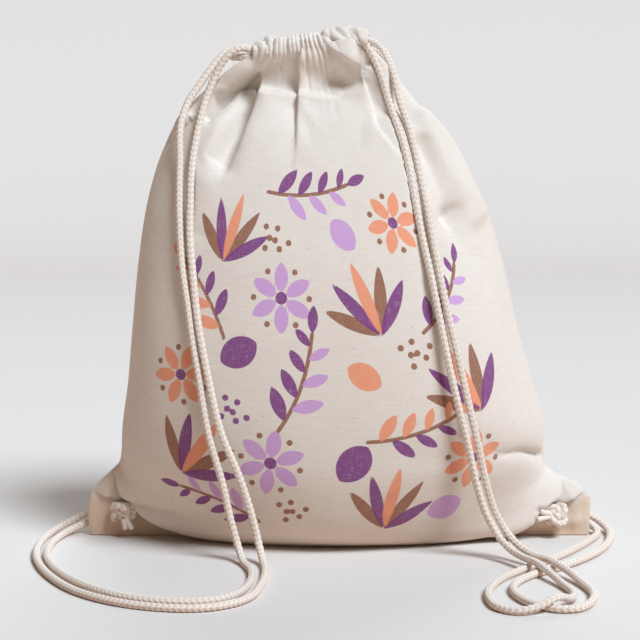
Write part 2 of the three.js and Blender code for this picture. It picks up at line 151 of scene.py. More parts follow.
world = bpy.data.worlds.new("studio")
world.use_nodes = True
nodes = world.node_tree.nodes
links = world.node_tree.links
fill = nodes["Background"]
fill.inputs["Color"].default_value = WORLD_COLOUR
fill.inputs["Strength"].default_value = WORLD_STRENGTH
seen = nodes.new("ShaderNodeBackground")
seen.inputs["Color"].default_value = WORLD_SEEN
rays = nodes.new("ShaderNodeLightPath")
either = nodes.new("ShaderNodeMixShader")
links.new(rays.outputs["Is Camera Ray"], either.inputs["Fac"])
links.new(fill.outputs["Background"], either.inputs[1])
links.new(seen.outputs["Background"], either.inputs[2])
links.new(either.outputs["Shader"], nodes["World Output"].inputs["Surface"])
bpy.context.scene.world = world
print("world strength", WORLD_STRENGTH)

# %% [markdown]
# ## The routes of the cords
# Each cord runs once round the mouth inside both hem tunnels, leaves on its own side as two
# strands, goes over the shoulder, down the front, round a loop on the floor and up behind the
# corner to a hole. A smooth curve through listed points is the right tool for a limp cord,
# because the points can be set on what the cord rests on. The points are those of the CAD solids,
# in millimetres, and a centripetal Catmull-Rom curve passes through them without overshooting.

# %% Route points
CORD_DIAMETER = 5.0
LEFT_FRONT = [
    (-63, -14, 354.7), (-67.5, -15, 355.6), (-72.5, -16.2, 354.9), (-77.6, -17, 351.6),
    (-82.4, -17.2, 346), (-87.4, -17.4, 337), (-93.5, -20.2, 322), (-98, -27, 306),
    (-103, -40, 277), (-104, -51, 250), (-104, -59, 226), (-102, -66, 203), (-98, -74, 168),
    (-92, -79, 135), (-82, -83, 92), (-70, -83, 62), (-61, -82, 33), (-56, -83, 12),
    (-53, -94, 3.2), (-51, -116, 2.8), (-53, -152, 2.8), (-61, -187, 2.8), (-80, -206, 2.8),
    (-104, -210, 2.8), (-140, -198, 2.8), (-173, -169, 2.8), (-198, -124, 2.8), (-212, -78, 2.8),
    (-215, -40, 2.8), (-212, -8, 2.8), (-204, 10, 5), (-190, 17, 11), (-173, 17, 18),
    (-161, 11.5, 23.3), (-157, -1, 24.7),
]
LEFT_BACK = [
    (-62.4, 14, 354.8), (-67, 13.4, 355.4), (-74, 9.8, 355.4), (-82, 3, 351.5), (-91, -4, 341.5),
    (-99, -10, 330), (-107, -16, 318), (-112, -26, 301), (-112, -37, 277), (-112, -48, 250),
    (-111, -56, 226), (-109, -63, 203), (-105, -70, 178), (-102, -74, 156), (-98, -77, 133),
    (-91, -81, 91), (-82, -81, 58), (-76, -80, 30), (-71, -81, 12), (-67, -91, 3.2),
    (-61, -113, 2.8), (-60, -140, 2.8), (-66, -170, 2.8), (-81, -190, 2.8), (-105, -195, 2.8),
    (-136, -185, 2.8), (-166, -158, 2.8), (-190, -120, 2.8), (-204, -80, 2.8), (-207, -46, 2.8),
    (-204, -17, 2.8), (-197, 0, 4), (-185, 8, 8), (-169, 13.5, 14), (-159, 10, 18.6),
    (-157, -1, 19.4),
]
RIGHT_FRONT = [
    (5.4, -14, 359.8), (11, -15.6, 360.5), (15.4, -16.4, 359.5), (19, -16.8, 357),
    (21.8, -17.3, 353.4), (25, -18.2, 347), (29.4, -20.4, 336), (34, -23, 321), (39, -31, 306),
    (44, -40, 291), (49, -49, 269), (53, -57, 247), (57, -64, 226), (63, -72, 199), (69, -77, 169),
    (75, -81, 140), (82, -82, 110), (89, -80, 82), (95, -77, 56), (102, -75, 34), (110, -76, 19),
    (118, -86, 11), (126, -100, 8.4), (134, -116, 8.4), (141, -133, 6), (148, -153, 3),
    (152, -174, 2.8), (148, -194, 4.8), (137, -209, 9.4), (124, -216, 5.2), (111, -217, 2.8),
    (100, -208, 2.8), (96, -190, 2.8), (97, -168, 2.8), (103, -148, 2.8), (113, -128, 2.8),
    (125, -112, 2.8), (140, -92, 2.8), (156, -71, 2.8), (171, -47, 2.8), (183, -24, 2.8),
    (190, -5, 2.8), (187, 8, 5.5), (175, 14, 10.5), (164, 13, 14.5), (157, 8, 16.2),
    (155.5, -1, 16.4),
]
RIGHT_BACK = [
    (5.4, 14, 359.8), (11.5, 15.6, 360.5), (18, 15, 360.8), (25, 10.6, 359.4), (31, 2.6, 354.4),
    (35, -7, 347), (38.4, -17.5, 336.6), (42, -24, 320), (48, -33, 302), (52, -40, 287),
    (56, -48, 268), (60, -56, 248), (64, -63, 226), (69, -70, 200), (75, -75, 172), (82, -78, 142),
    (89, -79, 112), (96, -78, 83), (102, -75, 56), (109, -72, 34), (117, -73, 20), (125, -82, 12),
    (134, -95, 8.4), (144, -109, 8.4), (153, -125, 6), (161, -148, 3), (165, -172, 2.8),
    (161, -195, 2.8), (151, -210, 2.8), (139, -212, 2.8), (128, -205, 2.8), (119, -192, 2.8),
    (114, -175, 2.8), (114, -158, 2.8), (120, -141, 2.8), (131, -125, 2.8), (147, -109, 2.8),
    (163, -91, 2.8), (179, -68, 2.8), (191, -42, 2.8), (198, -14, 2.8), (198, 8, 3.8),
    (191, 18, 8.5), (178, 18, 14.5), (165, 14, 20), (157, 8, 21.4), (155.5, -1, 21.7),
]
print("route points", len(LEFT_FRONT), len(LEFT_BACK), len(RIGHT_FRONT), len(RIGHT_BACK))

# %% The stretch of a cord inside the hem tunnels
TUNNEL_Y = 14.0
TUNNEL_LEFT = -62.0
TUNNEL_RIGHT = 5.0
TUNNEL_MIDDLE = -25.0
TUNNEL_HEIGHT = 357.8
TUNNEL_SLOPE = 0.155
TUNNEL_STOPS = (0.25, 0.5, 0.75, 1)
CORD_TRACK = 2.75
TURN_SHAPE = [(7, 0.86), (12.1, 0.5), (14, 0)]


def tunnel_height(x):
    return TUNNEL_HEIGHT + TUNNEL_SLOPE * (x - TUNNEL_MIDDLE)


def tunnel_stretch(way):
    """Points from the front tunnel, round the far side of the mouth, into the back tunnel."""
    start, end = (TUNNEL_LEFT, TUNNEL_RIGHT) if way > 0 else (TUNNEL_RIGHT, TUNNEL_LEFT)
    track = way * CORD_TRACK
    out = []
    for share in TUNNEL_STOPS:
        x = start + (end - start) * share
        out.append((x, -TUNNEL_Y, tunnel_height(x) + track))
    for reach, share in TURN_SHAPE:
        out.append((end + way * reach, -TUNNEL_Y * share, tunnel_height(end) + track))
    back = [(x, -y, z) for x, y, z in out[-2::-1]]
    return out + back


CORD_ROUTES = {
    "left_cord": LEFT_FRONT[::-1] + tunnel_stretch(1) + LEFT_BACK,
    "right_cord": RIGHT_FRONT[::-1] + tunnel_stretch(-1) + RIGHT_BACK,
}
print({name: len(points) for name, points in CORD_ROUTES.items()})

# %% A smooth curve through the points
SPAN_POINTS = 24


def between(t, start, end, first, second):
    """A straight blend from the first point at the start to the second at the end."""
    return (end - t) / (end - start) * first + (t - start) / (end - start) * second


def smooth_route(points):
    """Centripetal Catmull-Rom curve through all the points."""
    p = np.array(points, float)
    p = np.vstack([2 * p[0] - p[1], p, 2 * p[-1] - p[-2]])
    out = []
    for i in range(1, len(p) - 2):
        corners = p[i - 1 : i + 3]
        gaps = np.sqrt(np.linalg.norm(np.diff(corners, axis=0), axis=1))
        t0, t1, t2, t3 = np.concatenate([[0], np.cumsum(gaps)])
        t = np.linspace(t1, t2, SPAN_POINTS, endpoint=False)[:, None]
        a1 = between(t, t0, t1, corners[0], corners[1])
        a2 = between(t, t1, t2, corners[1], corners[2])
        a3 = between(t, t2, t3, corners[2], corners[3])
        b1 = between(t, t0, t2, a1, a2)
        b2 = between(t, t1, t3, a2, a3)
        out.append(between(t, t1, t2, b1, b2))
    out.append(p[-2:-1])
    return np.vstack(out)


smooth_lines = {name: smooth_route(points) for name, points in CORD_ROUTES.items()}
print({name: len(line) for name, line in smooth_lines.items()}, "points on the curves")

# %% Even steps along a line
RING_STEP = 0.65


def lengths_along(line):
    """How far along the line each of its points is."""
    return np.concatenate([[0], np.cumsum(np.linalg.norm(np.diff(line, axis=0), axis=1))])


def line_length(line):
    return float(lengths_along(line)[-1])


def spread_evenly(line, count):
    """The same line as a number of points, evenly spaced."""
    lengths = lengths_along(line)
    at = np.linspace(0, lengths[-1], count)
    return np.stack([np.interp(at, lengths, line[:, k]) for k in range(3)], 1)


def even_steps(line):
    """The same line with points a ring's step apart."""
    return spread_evenly(line, int(round(line_length(line) / RING_STEP)) + 1)


cord_lines = {name: even_steps(line) for name, line in smooth_lines.items()}
print({name: round(line_length(line)) for name, line in cord_lines.items()}, "mm long")

# %% [markdown]
# ## The paths of the knots
# Both ends of a cord come through the corner and are tied in one tight knot with short cut tails.
# A trefoil curve is the path of an overhand knot, so two strands side by side along a squeezed
# trefoil really pass over and under each other, and fill a compact ball.

# %% Knot paths
KNOT_Y = -9.0
KNOT_SIZE = 2.05
KNOT_DEPTH = 1.2
KNOT_ROPE = 4.9
KNOT_SPLIT = 2.3
KNOT_SAMPLES = 400
KNOT_COLUMNS = ("name", "x", "z", "spin", "tilt", "lean", "tails")
KNOTS = [
    ("left_knot", -158, 19.4, 0.5, 0.6, -0.25, ((2.95, 8), (2.6, 9.5))),
    ("right_knot", 158.5, 17.6, 1.6, -0.6, -0.6, ((-1.25, 8), (-1.7, 10))),
]


def turned(points, spin, tilt):
    """Points turned about the y axis, then about the x axis."""
    c, s = np.cos(spin), np.sin(spin)
    about_y = np.array([(c, 0, s), (0, 1, 0), (-s, 0, c)])
    c, s = np.cos(tilt), np.sin(tilt)
    about_x = np.array([(1, 0, 0), (0, c, -s), (0, s, c)])
    return points @ about_y.T @ about_x.T


def knot_line(spin, tilt, aside):
    """One strand of the knot, a little to one side of the middle of both."""
    t = np.linspace(0, 2 * np.pi, KNOT_SAMPLES)
    x = np.sin(t) + 2 * np.sin(2 * t)
    z = np.cos(t) - 2 * np.cos(2 * t)
    y = -KNOT_DEPTH * np.sin(3 * t)
    line = KNOT_SIZE * np.stack([x, y, z], 1)
    way = np.gradient(line, axis=0)
    beside = np.stack([way[:, 2], 0 * t, -way[:, 0]], 1)
    beside /= np.linalg.norm(beside, axis=1, keepdims=True)
    return turned(line + aside * beside, spin, tilt)


def at_corner(spec, lines):
    """Lines moved to the place of a knot, in even steps."""
    centre = np.array([spec["x"], KNOT_Y, spec["z"]])
    return [even_steps(line + centre) for line in lines]


knot_specs = named_rows(KNOT_COLUMNS, KNOTS)
knot_strands = {}
for spec in knot_specs:
    pair = [knot_line(spec["spin"], spec["tilt"], aside) for aside in (-KNOT_SPLIT, KNOT_SPLIT)]
    knot_strands[spec["name"]] = at_corner(spec, pair)
    print(spec["name"], round(sum(map(line_length, knot_strands[spec["name"]]))), "mm of cord")

# %% Cut tails
TAIL_FROM = 4.5
TAIL_FORWARD = -1.5
TAIL_BOW = 1.2
TAIL_SAMPLES = 40


def tail_line(angle, length, lean):
    """A cut end that leaves the knot at an angle from straight up and leans out of the cloth."""
    way = np.array([np.sin(angle), lean, np.cos(angle)])
    bow = np.linspace(0, 1, TAIL_SAMPLES)[:, None]
    start = TAIL_FROM * way + np.array([0, TAIL_FORWARD, 0])
    return start + length * bow * way + np.array([0, TAIL_BOW, 0]) * bow * bow


knot_tails = {}
for spec in knot_specs:
    tails = [tail_line(angle, length, spec["lean"]) for angle, length in spec["tails"]]
    knot_tails[spec["name"]] = at_corner(spec, tails)
    print(spec["name"], "has", len(tails), "tails")

# %% [markdown]
# ## The shape of the sewn cloth
# The body is two cotton panels, sewn along both sides and folded under the bottom. Filled, it is
# round in front and behind, flat under the bottom, drawn narrow at the mouth, and its bottom
# corners stay flat and stick out as ears. A table of cross sections gives that shape: one row per
# height, from the fold under the bag up to the mouth. Each cross section is half a rounded
# rectangle with a flat tail at each end for the ears, and a curve that never overshoots joins the
# rows. Both coordinates of the cloth stay known this way: across, from seam to seam, and along,
# from the bottom fold to the mouth, and the weave and the print follow them.

# %% Cross sections
SECTION_COLUMNS = (
    "front_y", "front_z", "back_y", "back_z", "middle_x", "body_left", "body_right",
    "ear_left", "ear_right", "seam_left_z", "seam_right_z", "boxiness",
)
SECTIONS = np.array([
    (0, 0, 0, 0, 0, -110, 110, -183, 184, 0, 0, 2.1),
    (-14, 0, 14, 0, 0, -118, 118, -184, 185, 13, 13, 2.2),
    (-27, 0, 27, 0, 0, -134, 134, -183.5, 185, 25, 25, 2.0),
    (-45, 4.5, 45, 4.5, -1, -160, 162, -176, 175, 40, 39.5, 1.6),
    (-59, 15, 59, 15, -2, -164, 158, -167, 159, 48.5, 47, 1.5),
    (-70, 34, 70, 34, -3, -159.5, 150.8, -160, 151, 57, 55, 1.65),
    (-79, 66, 78, 66, -4, -158, 150, -158, 150, 82, 81, 2.05),
    (-82, 105, 81, 105, -6, -153, 141, -153, 141, 117, 115, 2.45),
    (-80, 150, 81, 150, -9, -149.5, 129, -149.5, 129, 157, 155, 2.6),
    (-72, 200, 74, 200, -13, -145, 117.5, -145, 117.5, 205, 204, 2.5),
    (-57, 250, 61, 250, -18, -138, 102, -138, 102, 250, 249, 2.4),
    (-36, 296, 45, 294, -23, -123, 81, -123, 81, 294, 292, 2.3),
    (-17, 323, 28, 322, -25, -99, 57, -99, 57, 322, 322, 2.4),
    (-14, 349.2, 14, 349.2, -25, -66, 18, -66, 18, 342.7, 355.7, 5),
])
FLAT_WIDTH = 380.0

section_steps = np.hypot(np.diff(SECTIONS[:, 0]), np.diff(SECTIONS[:, 1]))
section_knots = np.concatenate([[0], np.cumsum(section_steps)])
FLAT_LENGTH = section_knots[-1]
print("cloth from fold to mouth:", round(FLAT_LENGTH, 1), "mm")

# %% A curve through each column


def smooth_column(knots, values):
    """A monotone cubic through one column of the table."""
    gaps = np.diff(knots)
    slopes = np.diff(values) / gaps
    tangents = np.zeros(len(knots))
    tangents[0] = slopes[0]
    tangents[-1] = slopes[-1]
    for i in range(1, len(gaps)):
        before, after = slopes[i - 1], slopes[i]
        if before * after > 0:
            w1 = 2 * gaps[i] + gaps[i - 1]
            w2 = gaps[i] + 2 * gaps[i - 1]
            tangents[i] = (w1 + w2) / (w1 / before + w2 / after)

    def at(place):
        i = np.clip(np.searchsorted(knots, place, side="right") - 1, 0, len(gaps) - 1)
        s = (place - knots[i]) / gaps[i]
        ends = (1 + 2 * s) * (1 - s) ** 2 * values[i] + s * s * (3 - 2 * s) * values[i + 1]
        leans = s * (1 - s) ** 2 * tangents[i] + s * s * (s - 1) * tangents[i + 1]
        return ends + gaps[i] * leans

    return at


section_curves = {
    name: smooth_column(section_knots, SECTIONS[:, k]) for k, name in enumerate(SECTION_COLUMNS)
}
print(len(section_curves), "section curves")

# %% One thread across a panel
THREAD_SAMPLES = 301
EAR_SAMPLES = 30
LAYER = 1.2
SEAM_ROUNDING = 4
SETTLE_BAND = 20.0
SETTLE_DROP = 0.6


def ramp(value, span):
    """Rises from 0 to 1 over a span."""
    return np.clip(value / span, 0, 1)


def thread(side, along, columns):
    """One weft thread across a panel, evenly spaced. side is -1 in front and 1 behind."""
    v = {name: float(curve(along * FLAT_LENGTH)) for name, curve in section_curves.items()}
    middle_y = v["front_y"] if side < 0 else v["back_y"]
    middle_z = v["front_z"] if side < 0 else v["back_z"]
    angle = np.linspace(-np.pi / 2, np.pi / 2, THREAD_SAMPLES)
    power = 2 / v["boxiness"]
    reach = np.sign(angle) * np.abs(np.sin(angle)) ** power
    depth = np.clip(np.cos(angle), 0, 1) ** power
    half = np.where(reach < 0, v["middle_x"] - v["body_left"], v["body_right"] - v["middle_x"])
    tail = np.linspace(0, 1, EAR_SAMPLES + 1)[1:]
    left = v["body_left"] + (v["ear_left"] - v["body_left"]) * tail[::-1]
    right = v["body_right"] + (v["ear_right"] - v["body_right"]) * tail
    x = np.concatenate([left, v["middle_x"] + reach * half, right])
    depth = np.concatenate([0 * tail, depth, 0 * tail])
    slope = (v["seam_right_z"] - v["seam_left_z"]) / (v["ear_right"] - v["ear_left"])
    seam = v["seam_left_z"] + slope * (x - v["ear_left"])
    droop = v["seam_left_z"] + slope * (v["middle_x"] - v["ear_left"]) - middle_z
    z = seam - droop * (1 - (1 - depth) ** 2)
    z = np.maximum(0, z - SETTLE_DROP * (1 - ramp(z, SETTLE_BAND)))
    line = np.stack([x, middle_y * depth, z], 1)
    total = line_length(line)
    at = np.linspace(0, total, columns)
    line = spread_evenly(line, columns)
    line[:, 1] += side * LAYER * np.sqrt(ramp(np.minimum(at, total - at), SEAM_ROUNDING))
    return line


print(THREAD_SAMPLES + 2 * EAR_SAMPLES, "points on a thread before it is spread evenly")

# %% Both panels as grids of points
COLUMNS = 193
LOWER_ROWS = 148
UPPER_ROWS = 101
UPPER_FROM = 0.7
TINY = 1e-9


def grid_normals(grid, side):
    across = np.gradient(grid, axis=1)
    along = np.gradient(grid, axis=0)
    normal = side * np.cross(along, across)
    return normal / np.maximum(np.linalg.norm(normal, axis=2, keepdims=True), TINY)


lower_rows = np.linspace(0, UPPER_FROM, LOWER_ROWS, endpoint=False)
row_places = np.concatenate([lower_rows, np.linspace(UPPER_FROM, 1, UPPER_ROWS)])
ROWS = len(row_places)
grids = {
    side: np.array([thread(side, along, COLUMNS) for along in row_places]) for side in (-1, 1)
}
across_map, along_map = np.meshgrid(np.linspace(-1, 1, COLUMNS), row_places)
mouth_x = grids[-1][-1, :, 0].copy()
print("panel grids", ROWS, "x", COLUMNS)

# %% [markdown]
# ## Folds
# Cotton drawn together at the mouth breaks into folds: sharp creases where it is pinched, steps
# where one side lies over the other, round ridges between them, and small pleats right under the
# hem. The big folds are drawn as short lines in the front view, each with a width, a
# height and the share of the height that is left at its end, and the cloth is moved along its own
# normal by how far it is from the line. This gives control over where each fold lies, which a
# simulation alone would not. A lapped fold also slides the raised side over the low one, so that
# it overhangs and throws a real shadow. A flap does so too, and leaves its other side flat.

# %% Fold lines
FOLD_COLUMNS = ("shape", "points", "width", "rise", "end")
FRONT_FOLDS = [
    ("lap", ((-44, 351), (-55, 337), (-64, 333), (-78, 327), (-89, 321), (-104, 309)), 14, 8, 0.6),
    ("crease", ((-52, 339), (-64, 331), (-77, 325), (-97, 312)), 7, -10, 1.1),
    ("lap", ((-47, 346), (-54, 334), (-58, 324), (-66, 304), (-74, 283)), 10, -7, 0.2),
    ("round", ((-66, 322), (-72, 308), (-78, 294), (-84, 279)), 8, -14, 0.7),
    ("round", ((-72, 319), (-84, 304), (-96, 284)), 6, 4, 0.2),
    ("round", ((-95, 262), (-99, 227)), 12, 4, 0.2),
    ("round", ((-50, 331), (-28, 332), (0, 331)), 7, -5.5, 0.9),
    ("round", ((-3, 333), (5, 331), (11, 330)), 5, -7, 0.8),
    ("step", ((-56, 326), (-29, 324), (-14, 322), (1, 320), (9, 325), (16, 333)), 9, 6, 0.5),
    ("lap", ((-28, 352), (-29, 325), (-30, 305), (-31, 280)), 8, -6.5, 0.05),
    ("lap", ((-4, 346), (6, 340), (16, 334)), 7, -4, 0.2),
    ("lap", ((15, 336), (20, 318), (25, 301), (33, 291), (44, 277)), 10, 7, 0.1),
    ("round", ((52, 322), (68, 304), (92, 272)), 8, 5, 0.2),
    ("round", ((60, 306), (80, 270), (98, 238)), 7, 7, 0.6),
    ("round", ((47, 319), (71, 277), (83, 239)), 10, -8, 0.2),
    ("round", ((58, 288), (66, 268), (78, 242)), 8, -7, 0.8),
    ("round", ((80, 238), (86, 214)), 9, -9, 0.3),
    ("crease", ((153, 60), (132, 69), (112, 70)), 6, -8, 0.3),
]
LEFT_EAR_FOLD = ((-180, 33), (-166, 29), (-157, 26), (-149, 18), (-137, 10), (-129, 7), (-120, 5))
RIGHT_EAR_FOLD = ((184, 35), (174, 29), (164, 25), (156, 19), (147, 13), (126, 7), (118, 5))
EAR_FOLDS = [
    ("flap", RIGHT_EAR_FOLD, 13, 9, 0.15),
    ("flap", LEFT_EAR_FOLD, 13, -9, 0.15),
    ("crease", ((-148, 27), (-124, 24), (-98, 20)), 7, -5, 0.2),
    ("round", ((-164, 34), (-163, 56)), 4, -2, 0.2),
    ("round", ((150, 8), (186, 12)), 5, 2, 0.6),
    ("round", ((148, 9), (132, 7), (120, 6)), 7, 5.5, 0.6),
    ("round", ((174, 6), (177, 26)), 4, 1.6, 0.6),
    ("round", ((-176, 4), (-172, 34)), 6, 2, 0.6),
]
BACK_FOLDS = [
    ("round", ((-52, 350), (-80, 310), (-104, 262)), 9, 4, 0.2),
    ("lap", ((-40, 350), (-58, 300), (-72, 250)), 10, -5, 0),
    ("round", ((-28, 350), (-30, 300), (-34, 252)), 9, 4, 0.2),
    ("lap", ((-12, 352), (-4, 300), (6, 240)), 10, 5, 0),
    ("round", ((0, 354), (24, 306), (42, 262)), 9, 4, 0.2),
    ("lap", ((10, 356), (44, 312), (74, 252)), 10, -4, 0),
    ("crease", ((-156, 62), (-134, 73), (-108, 74)), 7, -7, 0.2),
    ("round", ((-148, 128), (-124, 122), (-92, 126)), 9, -3.5, 0.1),
    ("crease", ((150, 60), (126, 68), (98, 66)), 7, -7, 0.2),
    ("round", ((134, 150), (108, 140), (76, 142)), 10, -4, 0.1),
    ("round", ((-70, 40), (-20, 34), (40, 38)), 9, 2.5, 0.6),
    ("round", ((-96, 210), (-70, 196), (-40, 190)), 12, -3, 0.1),
]
print("folds in front:", len(FRONT_FOLDS) + len(EAR_FOLDS), "behind:", len(BACK_FOLDS))

# %% Distance to a line


def line_distance(points, x, z):
    """Distance to a bent line in the front view, positive to its right, the share along it, and
    which way right is there."""
    p = np.array(points, float)
    spans = np.diff(p, axis=0)
    lengths = np.linalg.norm(spans, axis=1)
    starts = np.concatenate([[0], np.cumsum(lengths)])
    best = np.full(x.shape, np.inf)
    share = np.zeros(x.shape)
    sign = np.ones(x.shape)
    right = np.zeros(x.shape + (3,))
    for i, span in enumerate(spans):
        dx = x - p[i, 0]
        dz = z - p[i, 1]
        t = np.clip((dx * span[0] + dz * span[1]) / lengths[i] ** 2, 0, 1)
        distance = np.hypot(dx - t * span[0], dz - t * span[1])
        nearer = distance < best
        best = np.where(nearer, distance, best)
        share = np.where(nearer, (starts[i] + t * lengths[i]) / starts[-1], share)
        sign = np.where(nearer, np.sign(span[1] * dx - span[0] * dz), sign)
        right[nearer] = (span[1] / lengths[i], 0, -span[0] / lengths[i])
    return best * sign, share, right


mouth_gap = line_distance(FRONT_FOLDS[0][1], grids[-1][-1, :, 0], grids[-1][-1, :, 2])[0]
print("the first fold comes within", round(np.abs(mouth_gap).min(), 1), "mm of the mouth")

# %% Moves of the folds
TAPER_POWER = 1.5
CREASE_SHARPNESS = 1.3
STEP_EDGE = 0.22
LAP_REACH = 0.4
LAP_SHIFT = 0.62


def fold_moves(folds, grid):
    """How far each point rises along its normal, and how far it slides in the front view."""
    rise = np.zeros(grid.shape[:2])
    slide = np.zeros(grid.shape)
    for fold in named_rows(FOLD_COLUMNS, folds):
        offset, share, right = line_distance(fold["points"], grid[..., 0], grid[..., 2])
        near = np.abs(offset) / fold["width"]
        taper = 1 - (1 - fold["end"]) * share**TAPER_POWER
        if fold["shape"] == "round":
            height = np.exp(-near * near)
        elif fold["shape"] == "crease":
            height = np.exp(-CREASE_SHARPNESS * near)
        else:
            height = np.tanh(offset / (STEP_EDGE * fold["width"])) * np.exp(-near)
        if fold["shape"] == "flap":
            height = np.where(height * fold["rise"] > 0, height, 0)
        if fold["shape"] in ("lap", "flap"):
            u = offset / (LAP_REACH * fold["width"])
            slide -= (LAP_SHIFT * fold["width"] * taper * u * np.exp(-u * u))[..., None] * right
        rise += fold["rise"] * height * taper
    return rise, slide


fold_shapes = {
    -1: fold_moves(FRONT_FOLDS, grids[-1]),
    1: fold_moves(BACK_FOLDS, grids[1]),
}
ear_shape = fold_moves(EAR_FOLDS, grids[-1])
print("ear folds rise", round(ear_shape[0].max(), 1), "mm at the most")

# %% Pleats under the hem
PLEAT_PLACES = np.array([
    -0.9, -0.6, -0.48, -0.4, -0.33, -0.27, -0.2, -0.14, -0.07, 0.0, 0.06, 0.13, 0.19, 0.27,
    0.4, 0.72,
])
PLEAT_SEED = 11
PLEAT_DEPTHS = (0.3, 1.3)
PLEAT_REACHES = (9, 26)
PLEAT_WIDTH = 0.3
PLEAT_SHARPNESS = 1.2

chance = np.random.default_rng(PLEAT_SEED)
pleat_depths = chance.uniform(*PLEAT_DEPTHS, len(PLEAT_PLACES))
pleat_reaches = chance.uniform(*PLEAT_REACHES, len(PLEAT_PLACES))
pleat_widths = PLEAT_WIDTH * np.gradient(PLEAT_PLACES)


def pleat_depth(across, below):
    """How deep the pleats are at a place across the mouth and a distance in mm below the hem."""
    total = np.zeros(np.broadcast(across, below).shape)
    for place, depth, reach, width in zip(PLEAT_PLACES, pleat_depths, pleat_reaches, pleat_widths):
        near = np.abs(across - place) / width
        total -= depth * np.exp(-PLEAT_SHARPNESS * near) * np.exp(-((below / reach) ** 2))
    return total


print(len(PLEAT_PLACES), "pleats, the longest reaches", pleat_reaches.max().round(), "mm")

# %% Move the cloth into its folds
PLEAT_DEPTH = 3.0
HEM_QUIET = 9.0
SEAM_BAND = 0.06
FOOT_BAND = 30
EAR_BAND = 0.03
LOOSE_FROM = 0.45
LOOSE_SPAN = 0.4
LOOSE_LEAST = 0.25
RUMPLES = [{"rise": 1.6, "size": 48, "shift": 0}, {"rise": 0.5, "size": 19, "shift": 5}]
RUMPLE_PLACE = (3.1, 7.7)


def rumple(grid, size, seed):
    """Soft unevenness of slack cloth, from smooth noise in space."""
    flat = grid.reshape(-1, 3)
    values = [noise.noise(Vector(p / size) + Vector((seed, *RUMPLE_PLACE))) for p in flat]
    return np.array(values).reshape(grid.shape[:2])


below_hem = (1 - along_map) * FLAT_LENGTH
seam_fade = ramp(1 - np.abs(across_map), SEAM_BAND)
hem_fade = ramp(below_hem, HEM_QUIET)
loose = np.clip((along_map - LOOSE_FROM) / LOOSE_SPAN, LOOSE_LEAST, 1)
plain_grids = dict(grids)
for side, (height, slide) in fold_shapes.items():
    grid = grids[side]
    normals = grid_normals(grid, side)
    waves = [w["rise"] * rumple(grid, w["size"], side + w["shift"]) for w in RUMPLES]
    height = height + loose * (waves[0] + waves[1])
    height *= ramp(grid[..., 2], FOOT_BAND) * hem_fade
    slide = slide * hem_fade[..., None]
    if side < 0:
        ear_fade = ramp(along_map, EAR_BAND)
        height += ear_shape[0] * ear_fade
        slide += ear_shape[1] * ear_fade[..., None]
    height += PLEAT_DEPTH * pleat_depth(-side * across_map, below_hem)
    slide -= (slide * normals).sum(2, keepdims=True) * normals
    grids[side] = grid + (seam_fade * height)[..., None] * normals + seam_fade[..., None] * slide
    print("side", side, "fold heights", round(height.min(), 1), "to", round(height.max(), 1), "mm")

# %% Bring the top edge into the hem tunnels
TUNNEL_PUFF_X = (-62, -58, -52, -44, -34, -24, -15, -8, 0, 8, 20)
TUNNEL_PUFF = (6.2, 7.6, 10, 9.6, 8.6, 8.2, 8.7, 9.8, 11.2, 11.2, 8.6)
TOP_TUCK = 0.8
TOP_RISE = 8.2
TOP_BAND = 16.0
TOP_POWER = 4
SEAM_RISE = 0.5
OFF_SEAM_BAND = 0.25

near_hem = 1 / (1 + (below_hem / TOP_BAND) ** TOP_POWER)
off_seam = ramp(1 - np.abs(across_map), OFF_SEAM_BAND)
for side, grid in grids.items():
    plain = plain_grids[side]
    puff = np.interp(plain[..., 0], TUNNEL_PUFF_X, TUNNEL_PUFF)
    forward = TUNNEL_Y + puff - TOP_TUCK - np.abs(plain[-1, :, 1]).max()
    grid[..., 1] += side * forward * seam_fade * near_hem
    grid[..., 2] += TOP_RISE * near_hem * (SEAM_RISE + (1 - SEAM_RISE) * off_seam)
    print("side", side, "top edge at", round(grid[-1, :, 2].max(), 1), "mm")

# %% [markdown]
# ## Letting the cloth settle
# Drawn folds alone look carved. A short cloth simulation lets the cotton find its own way between
# them: the flat cloth is wider than the drawn mouth, so it buckles into gathers, while a little
# pressure inside stands for what fills the bag. The rest shape is a shape key with part of the
# real spare width, the mouth and the bottom stay pinned, gravity is off because the filling holds
# the cloth, and a cap keeps any point from wandering. It runs on every second thread to be quick.

# %% The flat cloth at rest
SPARE_WIDTH = 0.5
SPARE_LENGTH = 0.5
REST_GAP = 0.5


def rest_cloth(grid, side):
    """The flat cloth that this panel would like to be, with part of its real spare width."""
    widths = np.linalg.norm(np.diff(grid, axis=1), axis=2).sum(1)
    widths = widths * (1 + SPARE_WIDTH * np.maximum(0, FLAT_WIDTH / widths - 1))
    steps = np.linalg.norm(np.diff(grid, axis=0), axis=2)
    lengths = np.vstack([0 * steps[:1], np.cumsum(steps, axis=0)])
    lengths = lengths * (1 + SPARE_LENGTH * np.maximum(0, FLAT_LENGTH / lengths[-1] - 1))
    x = np.linspace(-0.5, 0.5, grid.shape[1])[None, :] * widths[:, None]
    return np.stack([x, np.full_like(x, side * REST_GAP), lengths], -1)


def grid_faces(rows, columns, flip, closed=False):
    """Quads between the points of a grid, as rows of point numbers."""
    wide = columns if closed else columns - 1
    faces = []
    for j in range(rows - 1):
        for i in range(wide):
            k = (i + 1) % columns
            quad = (j * columns + i, j * columns + k, (j + 1) * columns + k, (j + 1) * columns + i)
            faces.append(quad[::-1] if flip else quad)
    return faces


print("mouth at rest:", round(np.ptp(rest_cloth(grids[-1], -1)[-1, :, 0])), "mm wide")

